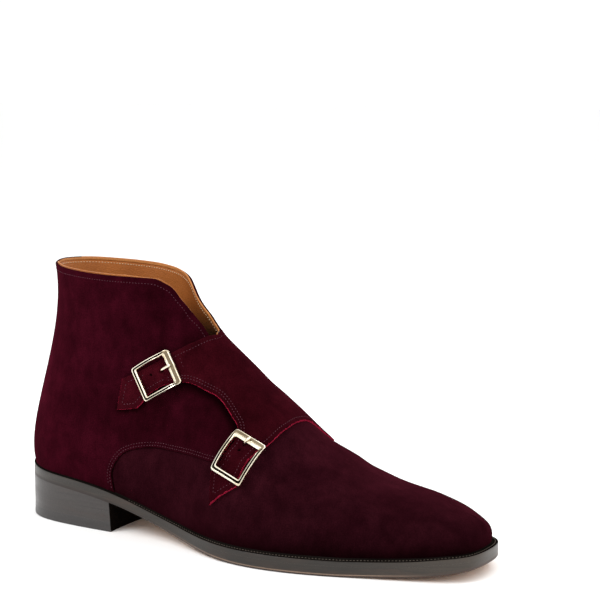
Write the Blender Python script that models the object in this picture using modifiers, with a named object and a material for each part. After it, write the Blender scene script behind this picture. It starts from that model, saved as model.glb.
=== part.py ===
"""Ankle boot with two buckled straps, right foot, standing empty on its sole.

Every length in the tables is in millimetres, measured from the back of the
heel: x runs to the toe, y to the inner side of the foot, z up from the floor.
The last step scales the meshes to metres and moves the middle of the boot's
footprint to the origin.
"""

import bmesh
import bpy
import numpy as np
from mathutils import Vector
from mathutils.geometry import delaunay_2d_cdt

# ---- driving sizes -------------------------------------------------------
SOLE_LENGTH = 305.0
MIDDLE_X = 152.5
MIDDLE_Y = -2.9
HEEL_BREAST_X = 76.0
WELT_THICKNESS = 3.1
TOP_LIFT_HEIGHT = 6.0
MIDDLE_LIFT_HEIGHT = 5.7
GAP = 0.3
FLAP_GAP = 0.35
WALL = 2.0
INSOLE_THICKNESS = 3.0
FLAP_THICKNESS = 1.8
TREAD_CHAMFER = 0.8

# Outline of the outsole.
# x, half-width on the outer side, half-width on the inner side
OUTLINE = np.array([
    (0, 0, 0),
    (3.5, 13.5, 13.5),
    (15, 25.2, 25.2),
    (32, 30.8, 30.8),
    (50, 32.8, 32.6),
    (75, 33.8, 32.4),
    (100, 34.4, 29.6),
    (120, 37.6, 28.2),
    (140, 44.3, 29.6),
    (160, 51.6, 34.6),
    (180, 55.2, 41.5),
    (200, 54.8, 47.0),
    (220, 51.2, 49.6),
    (240, 45.2, 48.0),
    (260, 38.8, 43.2),
    (280, 32.2, 35.6),
    (293, 26.6, 27.6),
    (300.5, 20.5, 19.5),
    (304.2, 11, 10),
    (305, 0, 0),
], float)

# Side profile of the sole: x, height of its underside, thickness of its edge
SOLE_PROFILE = np.array([
    (0, 25.2, 6.7),
    (40, 22.2, 6.7),
    (76, 17.2, 6.6),
    (95, 12.6, 6.3),
    (110, 8.8, 6.3),
    (125, 5.4, 6.9),
    (140, 2.7, 7.7),
    (160, 0.8, 8.6),
    (180, 0.1, 9.0),
    (195, 0, 9.0),
    (235, 0, 9.0),
    (255, 0.9, 9.0),
    (275, 3.0, 8.8),
    (290, 5.6, 8.5),
    (305, 9.2, 8.1),
], float)

# How far the upper's foot stands in from the outline: x, outer side, inner side
UPPER_INSET = np.array([
    (0, 1.5, 1.5),
    (40, 1.6, 1.5),
    (76, 2.2, 1.8),
    (120, 2.6, 2.0),
    (160, 3.6, 2.6),
    (200, 4.5, 3.6),
    (240, 4.6, 4.0),
    (280, 4.6, 3.6),
    (305, 3.2, 3.2),
], float)

# Sections of the upper, heel to toe, one row each. A section is a curve from
# the sole to the collar or, in front of it, to the ridge over the instep.
# foot x | lower handle: out, up, forward | upper handle: forward, out, up |
# top: x, out from the middle, height
OUTER_SECTIONS = np.array([
    (0, 8.5, 30, 0, 12.5, 0, -38, 16.5, 0, 156.5),
    (16, 7.5, 30, 1.5, 9, -0.5, -38, 23.2, 14.5, 156),
    (36, 5, 30, 3, 4, -2, -38, 40, 25, 155.3),
    (60, 3.5, 30, 2, 1, -3, -38, 64.6, 30.5, 154.4),
    (82, 3, 30, 0, 0, -3.2, -38, 88.6, 30, 152.8),
    (100, 2.5, 30, -2, 2.5, -0.5, -38, 104.3, 24.5, 151.6),
    (116, 2, 32, -3, 7, 6.5, -36, 113.7, 15.5, 150.9),
    (130, 2, 34, -4, 9, 16, -32, 116, 4, 150.5),
    (145, 2, 34, -5, 6, 20, -22, 122, 3.5, 131),
    (160, 2, 32, -5, 3, 22, -8, 134, 1, 112.5),
    (180, 2.5, 30, -5, 0, 24, -2, 154, -1, 97),
    (200, 3, 26, -4, -1, 26, 0, 175, -3, 82),
    (220, 3, 22, -3, 0, 27, 0, 197, -4, 65),
    (240, 3, 18, -2, 1, 27, 0, 221, -4, 50),
    (260, 3, 15, -1, 2, 25, 0, 245.5, -4, 41.2),
    (278, 2.5, 13, 0, 4, 20, -0.5, 267, -3, 38.6),
    (292, 2.5, 12, 0, 7, 12, -1, 283, -2, 35),
    (305, 2.5, 12, 0, 8, 0, -3, 294, 0, 32),
], float)
INNER_SECTIONS = np.array([
    (0, 8.5, 30, 0, 12.5, 0, -38, 16.5, 0, 156.5),
    (16, 7.5, 30, 1.5, 9, -0.5, -38, 20.8, 15, 156.5),
    (36, 5, 30, 3, 6, -2, -38, 34, 25, 156.1),
    (60, 3.5, 30, 2, 3.5, -3, -38, 57.4, 29, 155.4),
    (82, 3, 30, 0, 2.5, -3.2, -38, 75.4, 28.5, 153.8),
    (100, 2.5, 30, -2, 5.5, -0.5, -38, 89.7, 24, 152.4),
    (114, 2, 32, -3, 9, 6.5, -36, 102.3, 14, 151.5),
    (126, 2, 34, -4, 9, 16, -32, 116, -4, 150.5),
    (140, 2, 34, -5, 5, 18, -22, 122, -3.5, 131),
    (156, 2, 32, -5, 3, 20, -8, 134, -1, 112.5),
    (176, 2.5, 30, -5, 0, 22, -2, 154, 1, 97),
    (196, 3, 26, -4, -1, 24, 0, 175, 3, 82),
    (218, 3, 22, -3, 0, 25, 0, 197, 4, 65),
    (240, 3, 18, -2, 1, 26, 0, 221, 4, 50),
    (261, 3, 15, -1, 2, 24, 0, 245.5, 4, 41.2),
    (280, 2.5, 13, 0, 4, 20, -0.5, 267, 3, 38.6),
    (293, 2.5, 12, 0, 7, 12, -1, 283, 2, 35),
    (305, 2.5, 12, 0, 8, 0, -3, 294, 0, 32),
], float)
FRONT_ROW = 7  # the section that ends at the front of the collar

# The V opening, as the part of each section that stays:
# place along the foot (0 heel, 1 toe), outer side, inner side
V_OPENING = np.array([
    (0.240, 1.0, 1.0),
    (0.270, 0.998, 0.998),
    (0.300, 0.983, 0.985),
    (0.335, 0.945, 0.955),
    (0.378, 0.872, 0.890),
    (0.420, 0.868, 0.855),
    (0.462, 0.905, 0.880),
    (0.502, 0.945, 0.935),
    (0.540, 1.0, 1.0),
], float)

# Outline of the flap with its two straps, going round from the instep.
# how it is measured: "side" is x and height on the outer side, "plan" is x
# and y seen from above, "inner" is x and height on the inner side.
# then the two lengths, and "round" where the edge runs on in a curve
FLAP_OUTLINE = [
    ("plan", 131.0, 1.0, "round"),
    ("plan", 131.3, -5.0, "round"),
    ("side", 128.8, 113.1, "round"),
    ("side", 123.8, 111.4, "round"),
    ("side", 115.3, 108.6, "round"),
    ("side", 108.0, 105.0, "round"),
    ("side", 98.4, 99.4, "round"),
    ("side", 84.5, 92.8, "corner"),
    ("side", 81.0, 74.0, "corner"),
    ("side", 93.7, 75.7, "corner"),
    ("side", 98.6, 78.8, "round"),
    ("side", 103.6, 85.0, "round"),
    ("side", 112.0, 90.4, "round"),
    ("side", 122.1, 92.8, "round"),
    ("side", 130.2, 92.3, "round"),
    ("side", 138.2, 89.3, "round"),
    ("side", 146.8, 85.5, "round"),
    ("side", 153.7, 80.0, "round"),
    ("side", 159.6, 74.7, "round"),
    ("side", 163.0, 71.2, "round"),
    ("side", 164.5, 65.6, "round"),
    ("side", 161.8, 58.6, "round"),
    ("side", 158.0, 52.4, "round"),
    ("side", 153.8, 47.0, "corner"),
    ("side", 155.1, 29.5, "corner"),
    ("side", 171.4, 41.2, "corner"),
    ("side", 173.2, 49.5, "round"),
    ("side", 176.8, 56.5, "round"),
    ("side", 181.4, 62.0, "round"),
    ("side", 185.0, 67.4, "round"),
    ("plan", 186.3, -11.6, "round"),
    ("plan", 188.0, 0.0, "round"),
    ("plan", 192.0, 8.5, "round"),
    ("plan", 197.0, 15.0, "round"),
    ("plan", 198.5, 21.5, "round"),
    ("plan", 194.0, 28.0, "round"),
    ("inner", 183.0, 55.5, "round"),
    ("inner", 168.0, 50.5, "corner"),
    ("inner", 150.0, 55.5, "round"),
    ("inner", 132.0, 66.0, "round"),
    ("inner", 121.0, 82.0, "round"),
    ("inner", 117.0, 100.0, "round"),
    ("inner", 117.5, 116.0, "round"),
    ("plan", 124.0, 9.5, "corner"),
]

# Buckles: centre x and height on the outer side, and the way that the strap
# runs from its free end, as x and height
BUCKLES = {
    "upper": (106.2, 95.4, 0.836, 0.549),
    "lower": (168.4, 55.6, 0.407, 0.914),
}
FRAME_LENGTH = 26.6
FRAME_WIDTH = 21.8
FRAME_LOW = 2.7
FRAME_HIGH = 5.1
NEAR_BAR = 4.0
FAR_BAR = 3.2
SIDE_BAR = 2.3
CORNER_RADIUS = 2.4
AXLE_HALF = 1.2
AXLE_LOW = 0.4
AXLE_HIGH = 1.7
STRAP_RISE = 1.75
STRAP_RISE_REACH = 3.6
SLOT_NEAR = 5.0
SLOT_FAR = 0.4
SLOT_HALF = 1.5
PRONG_RADIUS = 0.8
# along the strap, height above the upper
PRONG_PATH = [(1.5, 3.0), (3.1, 4.2), (5.6, 5.55), (8.6, 6.25), (12.0, 6.25)]

COLOURS = {
    "suede": (0.09, 0.008, 0.018, 1),
    "sole": (0.05, 0.045, 0.042, 1),
    "heel": (0.06, 0.045, 0.04, 1),
    "tan": (0.55, 0.27, 0.1, 1),
    "metal": (0.72, 0.62, 0.42, 1),
}


# ---- curves through table rows ------------------------------------------
def cubic(t, rows, at, closed=False):
    """Cubic spline through the rows at t, natural at its ends or closed."""
    t = np.asarray(t, float)
    rows = np.asarray(rows, float)
    at = np.asarray(at, float)
    n = len(t)
    h = np.diff(t)
    slope = np.diff(rows, axis=0) / h[:, None]
    if closed:
        m = n - 1
        lhs = np.zeros((m, m))
        rhs = np.zeros((m, rows.shape[1]))
        for i in range(m):
            lhs[i, (i - 1) % m] += h[i - 1]
            lhs[i, i] += 2 * (h[i - 1] + h[i])
            lhs[i, (i + 1) % m] += h[i]
            rhs[i] = 6 * (slope[i] - slope[i - 1])
        bend = np.linalg.solve(lhs, rhs)
        bend = np.concatenate([bend, bend[:1]])
    else:
        lhs = np.eye(n)
        rhs = np.zeros((n, rows.shape[1]))
        for i in range(1, n - 1):
            lhs[i, i - 1:i + 2] = h[i - 1], 2 * (h[i - 1] + h[i]), h[i]
            rhs[i] = 6 * (slope[i] - slope[i - 1])
        bend = np.linalg.solve(lhs, rhs)
    k = np.clip(np.searchsorted(t, at, side="right") - 1, 0, n - 2)
    a = ((t[k + 1] - at) / h[k])[:, None]
    b = ((at - t[k]) / h[k])[:, None]
    step = h[k][:, None]
    lift = ((a**3 - a) * bend[k] + (b**3 - b) * bend[k + 1]) * step**2 / 6
    return a * rows[k] + b * rows[k + 1] + lift


def sole_heights(x):
    """Height of the sole's underside and of its top at x."""
    found = cubic(SOLE_PROFILE[:, 0], SOLE_PROFILE[:, 1:], np.clip(x, 0, SOLE_LENGTH))
    low = np.maximum(found[:, 0], 0)
    return low, low + found[:, 1]


def outline_rows():
    outer = [(r[0], -r[1]) for r in OUTLINE]
    inner = [(r[0], r[2]) for r in OUTLINE]
    rows = np.array(outer + inner[-2:0:-1] + [outer[0]], float)
    t = np.r_[0, np.cumsum(np.hypot(*np.diff(rows, axis=0).T))]
    return t, rows


OUTLINE_T, OUTLINE_ROWS = outline_rows()


def outline_at(s):
    """Points and outward directions. s: 0 heel, 1 toe, 2 heel again."""
    s = np.asarray(s, float)
    end = OUTLINE_T[-1]
    toe = OUTLINE_T[len(OUTLINE) - 1]
    t = np.where(s <= 1, s * toe, toe + (s - 1) * (end - toe))
    points = cubic(OUTLINE_T, OUTLINE_ROWS, t, closed=True)
    step = 1e-3 * end
    ahead = cubic(OUTLINE_T, OUTLINE_ROWS, (t + step) % end, closed=True)
    behind = cubic(OUTLINE_T, OUTLINE_ROWS, (t - step) % end, closed=True)
    run = ahead - behind
    out = np.stack([run[:, 1], -run[:, 0]], 1)
    return points, out / np.linalg.norm(out, axis=1)[:, None]


def outline_place(side, x):
    """Place along the outline, from the heel, where a side reaches x."""
    g = np.linspace(0, 1, 2001)
    points, _ = outline_at(g if side < 0 else 2 - g)
    return np.interp(x, np.maximum.accumulate(points[:, 0]), g)


def inset_points(s, extra=0.0):
    """The upper's foot line, moved in by extra."""
    points, out = outline_at(s)
    rows = cubic(UPPER_INSET[:, 0], UPPER_INSET[:, 1:], np.clip(points[:, 0], 0, SOLE_LENGTH))
    share = np.clip(0.5 + points[:, 1] / 16, 0, 1)
    inset = rows[:, 0] * (1 - share) + rows[:, 1] * share + extra
    return points - out * inset[:, None]


# ---- the upper's surface -------------------------------------------------
class UpperSurface:
    """Outer face of the upper. A place on it is (p, q): p runs from heel to
    toe, and q from -1 at the outer edge of the sole, over 0 at the ridge, to
    1 at the inner edge."""

    def __init__(self):
        count = len(OUTER_SECTIONS)
        self.u = np.linspace(0, 1, count)
        self.loop_u = np.r_[self.u, 2 - self.u[-2::-1]]
        outer = outline_place(-1, OUTER_SECTIONS[:, 0])
        inner = outline_place(1, INNER_SECTIONS[:, 0])
        outer[[0, -1]] = inner[[0, -1]] = 0, 1
        self.foot = np.r_[outer, 2 - inner[-2::-1]]
        rows = np.concatenate([OUTER_SECTIONS, INNER_SECTIONS[-2::-1]])
        side = np.r_[-np.ones(count), np.ones(count - 1)]
        _, out = outline_at(self.foot)
        self.low = np.stack([out[:, 0] * rows[:, 1] + rows[:, 3], out[:, 1] * rows[:, 1], rows[:, 2]], 1)
        self.high = np.stack([rows[:, 4], side * rows[:, 5], rows[:, 6]], 1)
        self.low[-1] = self.low[0]
        self.high[-1] = self.high[0]
        self.outer_top = OUTER_SECTIONS[:, 7:] * (1, -1, 1)
        self.inner_top = INNER_SECTIONS[:, 7:]
        k = FRONT_ROW
        self.collar_u = np.r_[-self.u[k:0:-1], self.u[:k + 1]]
        self.collar = np.r_[self.inner_top[k:0:-1], self.outer_top[:k + 1]]

    def rail(self, u):
        """The collar and, in front of it, the ridge."""
        front = self.u[FRONT_ROW]
        signed = np.where(u <= 1, u, u - 2)
        collar = cubic(self.collar_u, self.collar, np.clip(signed, -front, front))
        ridge = cubic(self.u[FRONT_ROW:], self.outer_top[FRONT_ROW:], np.clip(np.abs(signed), front, 1))
        return np.where((np.abs(signed) <= front)[:, None], collar, ridge)

    def top(self, u, v):
        """The rail, its corner at the front of the collar eased below the edge."""
        signed = np.where(u <= 1, u, u - 2)
        near = np.exp(-((np.abs(signed) - self.u[FRONT_ROW]) / 0.16) ** 4)
        total = 0
        weights = 0
        for k in np.linspace(-1, 1, 9):
            weight = 1 - abs(k) * 0.8
            place = u + k * 0.13 * near * np.minimum(1, (1 - v) * 2.2)
            total = total + weight * self.rail(place % 2)
            weights += weight
        return total / weights

    def loop_at(self, u, v):
        foot = cubic(self.loop_u, self.foot[:, None], u)[:, 0]
        plan = inset_points(foot)
        _, sole_top = sole_heights(plan[:, 0])
        start = np.c_[plan, sole_top + GAP]
        low = start + cubic(self.loop_u, self.low, u, closed=True)
        end = self.top(u, v)
        high = end + cubic(self.loop_u, self.high, u, closed=True)
        v = v[:, None]
        w = 1 - v
        return start * w**3 + 3 * low * w * w * v + 3 * high * w * v * v + end * v**3

    def at(self, p, q):
        p = np.atleast_1d(np.asarray(p, float))
        q = np.atleast_1d(np.asarray(q, float))
        return self.loop_at(np.where(q <= 0, p, 2 - p) % 2, 1 - np.abs(q))

    def normal(self, p, q):
        ahead = self.at(p + 0.003, q) - self.at(p - 0.003, q)
        across = self.at(p, np.minimum(q + 0.006, 1)) - self.at(p, np.maximum(q - 0.006, -1))
        found = np.cross(ahead, across)
        return found / np.linalg.norm(found, axis=1)[:, None]

    def raised(self, p, q, height):
        return self.at(p, q) + self.normal(p, q) * np.asarray(height, float)[:, None]

    def find(self, start, axes, target):
        """Newton's method: the places whose point, measured along two axes,
        is target."""
        p = np.array(start[0], float)
        q = np.array(start[1], float)
        for _ in range(12):
            here = self.at(p, q) @ axes.T
            by_p = (self.at(p + 1e-3, q) @ axes.T - here) / 1e-3
            by_q = (self.at(p, q + 1e-3) @ axes.T - here) / 1e-3
            miss = target - here
            det = by_p[:, 0] * by_q[:, 1] - by_p[:, 1] * by_q[:, 0]
            step_p = (miss[:, 0] * by_q[:, 1] - miss[:, 1] * by_q[:, 0]) / det
            step_q = (by_p[:, 0] * miss[:, 1] - by_p[:, 1] * miss[:, 0]) / det
            p = np.clip(p + np.clip(step_p, -0.05, 0.05), 0.01, 0.99)
            q = np.clip(q + np.clip(step_q, -0.1, 0.1), -0.999, 0.999)
        return p, q

    def place(self, kind, a, b):
        """(p, q) of a point given by two of its lengths."""
        axes = np.array([(1, 0, 0), (0, 1, 0) if kind == "plan" else (0, 0, 1)], float)
        low, high = {"side": (-0.95, -0.05), "inner": (0.05, 0.95), "plan": (-0.5, 0.5)}[kind]
        ps, qs = np.meshgrid(np.linspace(0.05, 0.95, 46), np.linspace(low, high, 25), indexing="ij")
        ps, qs = ps.ravel(), qs.ravel()
        near = np.linalg.norm(self.at(ps, qs) @ axes.T - (a, b), axis=1).argmin()
        p, q = self.find(([ps[near]], [qs[near]]), axes, np.array([(a, b)], float))
        return p[0], q[0]


UPPER = UpperSurface()
CHART_SCALE = np.array([330.0, 105.0])  # about one millimetre in p and in q


def kept_share(u):
    """Share of each section that stays below the V opening."""
    signed = np.abs(np.where(u <= 1, u, u - 2))
    column = np.where(u <= 1, 1, 2)
    found = cubic(V_OPENING[:, 0], V_OPENING[:, 1:], np.clip(signed, V_OPENING[0, 0], V_OPENING[-1, 0]))
    found = np.where(column == 1, found[:, 0], found[:, 1])
    inside = (signed > V_OPENING[0, 0]) & (signed < V_OPENING[-1, 0])
    return np.where(inside, np.minimum(found, 1), 1.0)


# ---- meshes --------------------------------------------------------------
def collection(name):
    made = bpy.data.collections.new(name)
    bpy.context.scene.collection.children.link(made)
    return made


def material(name, colour, metallic, roughness):
    made = bpy.data.materials.new(name)
    made.use_nodes = True
    node = made.node_tree.nodes["Principled BSDF"]
    node.inputs["Base Color"].default_value = colour
    node.inputs["Metallic"].default_value = metallic
    node.inputs["Roughness"].default_value = roughness
    made.diffuse_color = colour
    return made


def add_mesh(name, points, faces, colour, into, smooth=True, metallic=0.0, roughness=0.7):
    """One object from points in millimetres. Faces are turned to look out."""
    mesh = bpy.data.meshes.new(name)
    moved = (np.asarray(points, float) - (MIDDLE_X, MIDDLE_Y, 0)) * 0.001
    mesh.from_pydata(moved.tolist(), [], faces)
    work = bmesh.new()
    work.from_mesh(mesh)
    bmesh.ops.remove_doubles(work, verts=work.verts, dist=2e-6)
    bmesh.ops.recalc_face_normals(work, faces=work.faces)
    work.to_mesh(mesh)
    work.free()
    mesh.materials.append(material(name, COLOURS[colour], metallic, roughness))
    if smooth:
        mesh.polygons.foreach_set("use_smooth", [True] * len(mesh.polygons))
        mesh.set_sharp_from_angle(angle=0.7)
    made = bpy.data.objects.new(name, mesh)
    into.objects.link(made)
    return made


def ring_faces(rings, count):
    """Quads between successive closed rings of count points."""
    faces = []
    for r in range(rings - 1):
        for i in range(count):
            j = (i + 1) % count
            faces.append((r * count + i, r * count + j, (r + 1) * count + j, (r + 1) * count + i))
    return faces


def strip_cap(first, count):
    """Cap of a loop that is paired across: point i meets point count - i."""
    half = count // 2
    faces = [(first, first + 1, first + count - 1)]
    for k in range(1, half - 1):
        faces.append((first + k, first + k + 1, first + count - k - 1, first + count - k))
    faces.append((first + half - 1, first + half, first + half + 1))
    return faces


def even_places(half):
    """Places round the outline, closer together at the heel and the toe."""
    t = np.linspace(0, 1, half + 1)
    s = t - 0.55 * np.sin(2 * np.pi * t) / (2 * np.pi)
    return np.r_[s, 2 - s[-2:0:-1]]


def plate(name, rings, colour, into):
    """A plate from a list of loops, bottom to top."""
    count = len(rings[0])
    faces = ring_faces(len(rings), count)
    faces += strip_cap(0, count)
    faces += strip_cap((len(rings) - 1) * count, count)
    return add_mesh(name, np.concatenate(rings), faces, colour, into)


def outline_ring(inset, which, rise, half=44):
    """The outsole's outline moved in, at a height from its underside or top."""
    points, out = outline_at(even_places(half))
    points = points - out * inset
    low, high = sole_heights(points[:, 0])
    return np.c_[points, (low if which == "low" else high) + rise]


def heel_ring(height_or_none, rise, inset=0.0, half=14, across=7):
    """Outline of the heel block: its curved back, and a slightly hollow breast."""
    end = outline_place(-1, HEEL_BREAST_X)
    end_in = outline_place(1, HEEL_BREAST_X)
    t = np.linspace(0, 1, half + 1) ** 1.15
    s = np.r_[2 - t[:0:-1] * end_in, t * end]
    points, out = outline_at(s % 2)
    points = points - out * inset
    y = np.linspace(points[-1, 1], points[0, 1], across + 2)[1:-1]
    hollow = 2.2 * (1 - (2 * (y - y.mean()) / (points[0, 1] - points[-1, 1])) ** 2)
    breast = np.c_[HEEL_BREAST_X - inset - hollow, y]
    points[[0, -1], 0] = HEEL_BREAST_X - inset
    loop = np.concatenate([points, breast])
    if height_or_none is None:
        low, _ = sole_heights(loop[:, 0])
        return np.c_[loop, low + rise], half, across
    return np.c_[loop, np.full(len(loop), height_or_none + rise)], half, across


def heel_block(name, bottom, top, into):
    rings = []
    for height, rise, inset in bottom + top:
        ring, half, across = heel_ring(height, rise, inset)
        rings.append(ring)
    count = len(rings[0])
    faces = ring_faces(len(rings), count)
    for first in (0, (len(rings) - 1) * count):
        # back to front: pairs (half + k, half - k), then the breast
        faces.append((first + half - 1, first + half, first + half + 1))
        for k in range(1, half - 1):
            faces.append((first + half - k, first + half + k, first + half + k + 1, first + half - k - 1))
        last = [first + 1, first + 2 * half - 1, first + 2 * half]
        last += [first + 2 * half + 1 + k for k in range(across)]
        faces.append(tuple(last + [first]))
    made = add_mesh(name, np.concatenate(rings), faces, "heel", into)
    work = bmesh.new()
    work.from_mesh(made.data)
    bmesh.ops.triangulate(work, faces=[f for f in work.faces if len(f.verts) > 4])
    work.to_mesh(made.data)
    work.free()
    return made


def build_upper(into):
    """Hollow shell: a net of section points, given its wall by Solidify."""
    t = np.r_[
        np.linspace(0, 0.2, 6, endpoint=False),
        np.linspace(0.2, 0.74, 28, endpoint=False),
        np.linspace(0.74, 1, 10),
    ]
    columns = np.r_[t, 2 - t[-2:0:-1]]
    levels = 18
    points = []
    for u in columns:
        top = kept_share(np.array([u]))[0]
        v = np.linspace(0, 1, levels) * top
        points.append(UPPER.loop_at(np.full(levels, u), v))
    count = len(columns)
    faces = []
    for i in range(count):
        j = (i + 1) % count
        for k in range(levels - 1):
            faces.append((i * levels + k, j * levels + k, j * levels + k + 1, i * levels + k + 1))
    made = add_mesh("upper", np.concatenate(points), faces, "suede", into, roughness=0.95)
    work = bmesh.new()
    work.from_mesh(made.data)
    work.faces.ensure_lookup_table()
    back = min(work.faces, key=lambda f: f.calc_center_median().x)
    if back.normal.x > 0:
        bmesh.ops.reverse_faces(work, faces=work.faces)
    work.to_mesh(made.data)
    work.free()
    wall = made.modifiers.new("wall", "SOLIDIFY")
    wall.thickness = WALL * 0.001
    wall.offset = -1
    wall.use_even_offset = True
    wall.use_rim = True
    return made


class BucklePlace:
    """Local lengths around a buckle: a along the strap towards the instep,
    b across it, both laid on the upper, and h above it."""

    def __init__(self, x, height, run_x, run_z):
        self.p, self.q = UPPER.place("side", x, height)
        here = np.array([self.p]), np.array([self.q])
        self.centre = UPPER.at(*here)[0]
        up = UPPER.normal(*here)[0]
        along = np.array([run_x, 0, run_z])
        along = along - up * along.dot(up)
        self.along = along / np.linalg.norm(along)
        self.across = np.cross(up, self.along)
        self.up = up

    def lay(self, a, b, h):
        a, b, h = (np.asarray(v, float) for v in (a, b, h))
        axes = np.array([self.along, self.across])
        target = np.c_[a, b] + self.centre @ axes.T
        start = np.full(len(a), self.p), np.full(len(a), self.q)
        p, q = UPPER.find(start, axes, target)
        return UPPER.raised(p, q, h)


def rounded_box(length_near, length_far, half_width, radius):
    """Corners and mid points of a frame's edge, the same count for each."""
    corners = [
        (length_near, half_width, 0),
        (-length_far, half_width, 90),
        (-length_far, -half_width, 180),
        (length_near, -half_width, 270),
    ]
    points = []
    for k, (a, b, turn) in enumerate(corners):
        middle = np.array([a - np.sign(a) * radius, b - np.sign(b) * radius])
        for step in np.linspace(0, 90, 4):
            angle = np.radians(turn + step)
            points.append(middle + radius * np.array([np.cos(angle), np.sin(angle)]))
        a2, b2, turn2 = corners[(k + 1) % 4]
        after = np.array([a2 - np.sign(a2) * radius, b2 - np.sign(b2) * radius])
        angle = np.radians(turn2)
        after = after + radius * np.array([np.cos(angle), np.sin(angle)])
        for share in (0.25, 0.5, 0.75):
            points.append(points[k * 7 + 3] * (1 - share) + after * share)
    return np.array(points)


def build_frame(name, spot, into, helpers):
    """A bevelled rectangular frame, with the thin axle below the strap."""
    near, far, wide = FRAME_LENGTH / 2, FRAME_LENGTH / 2, FRAME_WIDTH / 2
    outer = rounded_box(near, far, wide, CORNER_RADIUS)
    inner = rounded_box(near - NEAR_BAR, far - FAR_BAR, wide - SIDE_BAR, 0.8)
    outer_in = rounded_box(near - 0.7, far - 0.7, wide - 0.7, CORNER_RADIUS - 0.6)
    inner_out = rounded_box(near - NEAR_BAR + 0.6, far - FAR_BAR + 0.6, wide - SIDE_BAR + 0.6, 1.2)
    rings = []
    for loop, height in (
        (outer, FRAME_LOW), (outer, FRAME_HIGH - 0.9), (outer_in, FRAME_HIGH),
        (inner_out, FRAME_HIGH), (inner, FRAME_HIGH - 0.9), (inner, FRAME_LOW),
    ):
        rings.append(spot.lay(loop[:, 0], loop[:, 1], np.full(len(loop), height)))
    count = len(outer)
    faces = ring_faces(6, count)
    for i in range(count):
        j = (i + 1) % count
        faces.append((5 * count + i, 5 * count + j, j, i))
    frame = add_mesh(name, np.concatenate(rings), faces, "metal", into, metallic=1.0, roughness=0.22)

    foot = wide - 0.4
    inside = wide - SIDE_BAR + 0.25
    across = [-foot, -inside, -5, 0, 5, inside, foot]
    low, high, post = AXLE_LOW, AXLE_HIGH, FRAME_LOW + 0.8
    profile = []
    for b in across:
        profile.append((b, low))
    profile += [(foot, post), (inside, post), (inside, high), (5, high), (0, high), (-5, high)]
    profile += [(-inside, high), (-inside, post), (-foot, post)]
    b, h = np.array(profile).T
    loops = []
    for a in (-AXLE_HALF, AXLE_HALF):
        loops.append(spot.lay(np.full(len(b), a), b, h))
    n = len(b)
    faces = ring_faces(2, n)
    # indices: 0..6 along the bottom, 7, 8 and 14, 15 the posts, 9..13 the top
    for first in (0, n):
        faces.append(tuple(first + k for k in (5, 6, 7, 8, 9)))
        faces.append(tuple(first + k for k in (4, 5, 9, 10)))
        faces.append(tuple(first + k for k in (3, 4, 10, 11)))
        faces.append(tuple(first + k for k in (2, 3, 11, 12)))
        faces.append(tuple(first + k for k in (1, 2, 12, 13)))
        faces.append(tuple(first + k for k in (0, 1, 13, 14, 15)))
    axle = add_mesh(name + "_axle", np.concatenate(loops), faces, "metal", helpers, smooth=False)
    axle.hide_render = True
    axle.display_type = "WIRE"
    join = frame.modifiers.new("axle", "BOOLEAN")
    join.operation = "UNION"
    join.solver = "EXACT"
    join.object = axle
    return frame


def build_prong(name, spot, into):
    """A round pin from the strap's slot to the frame's near bar."""
    t = np.linspace(0, 1, len(PRONG_PATH))
    path = cubic(t, np.array(PRONG_PATH), np.linspace(0, 1, 13))
    run = np.gradient(path, axis=0)
    run = run / np.linalg.norm(run, axis=1)[:, None]
    sides = 12
    angles = np.arange(sides) * 2 * np.pi / sides
    rings = []
    last = len(path) - 1
    for k, ((a, h), (da, dh)) in enumerate(zip(path, run)):
        radius = PRONG_RADIUS * (0.7 if k in (0, last) else 1)
        b = radius * np.cos(angles)
        out = radius * np.sin(angles)
        rings.append(spot.lay(a - dh * out, b, h + da * out))
    faces = ring_faces(len(rings), sides)
    faces.append(tuple(range(sides)))
    faces.append(tuple((len(rings) - 1) * sides + k for k in range(sides)))
    return add_mesh(name, np.concatenate(rings), faces, "metal", into, metallic=1.0, roughness=0.22)


def flap_loop():
    """The flap's outline in (p, q), sampled every few millimetres."""
    knots = np.array([UPPER.place(kind, a, b) for kind, a, b, _ in FLAP_OUTLINE])
    kinds = [row[3] for row in FLAP_OUTLINE]
    corners = [k for k, kind in enumerate(kinds) if kind == "corner"]
    total = len(knots)
    flat = knots * CHART_SCALE
    after = np.roll(flat, -1, axis=0)
    turn = np.sign((flat[:, 0] * after[:, 1] - flat[:, 1] * after[:, 0]).sum())
    loop = []
    for n, first in enumerate(corners):
        last = corners[(n + 1) % len(corners)]
        span = (last - first) % total
        index = [(first + k) % total for k in range(span + 1)]
        run = knots[index]
        spots = UPPER.at(run[:, 0], run[:, 1])
        t = np.r_[0, np.cumsum(np.linalg.norm(np.diff(spots, axis=0), axis=1))]
        steps = max(2, int(round(t[-1] / 3.2)))
        at = np.linspace(0, t[-1], steps + 1)[:-1]
        if span > 1:
            loop.append(cubic(t, run, at))
            continue
        # a straight edge is hollowed by a hair, so that its points aren't in line
        share = (at / t[-1])[:, None]
        along = (run[1] - run[0]) * CHART_SCALE
        side = np.array([-along[1], along[0]]) / np.linalg.norm(along) * turn * 0.2 / CHART_SCALE
        loop.append(run[0] + (run[1] - run[0]) * share + side * 4 * share * (1 - share))
    return np.concatenate(loop)


def inside_polygon(points, polygon):
    hits = np.zeros(len(points), bool)
    for (x0, y0), (x1, y1) in zip(polygon, np.roll(polygon, -1, axis=0)):
        if y0 == y1:
            continue
        crosses = (points[:, 1] < y0) != (points[:, 1] < y1)
        at = x0 + (points[:, 1] - y0) * (x1 - x0) / (y1 - y0)
        hits ^= crosses & (points[:, 0] < at)
    return hits


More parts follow.
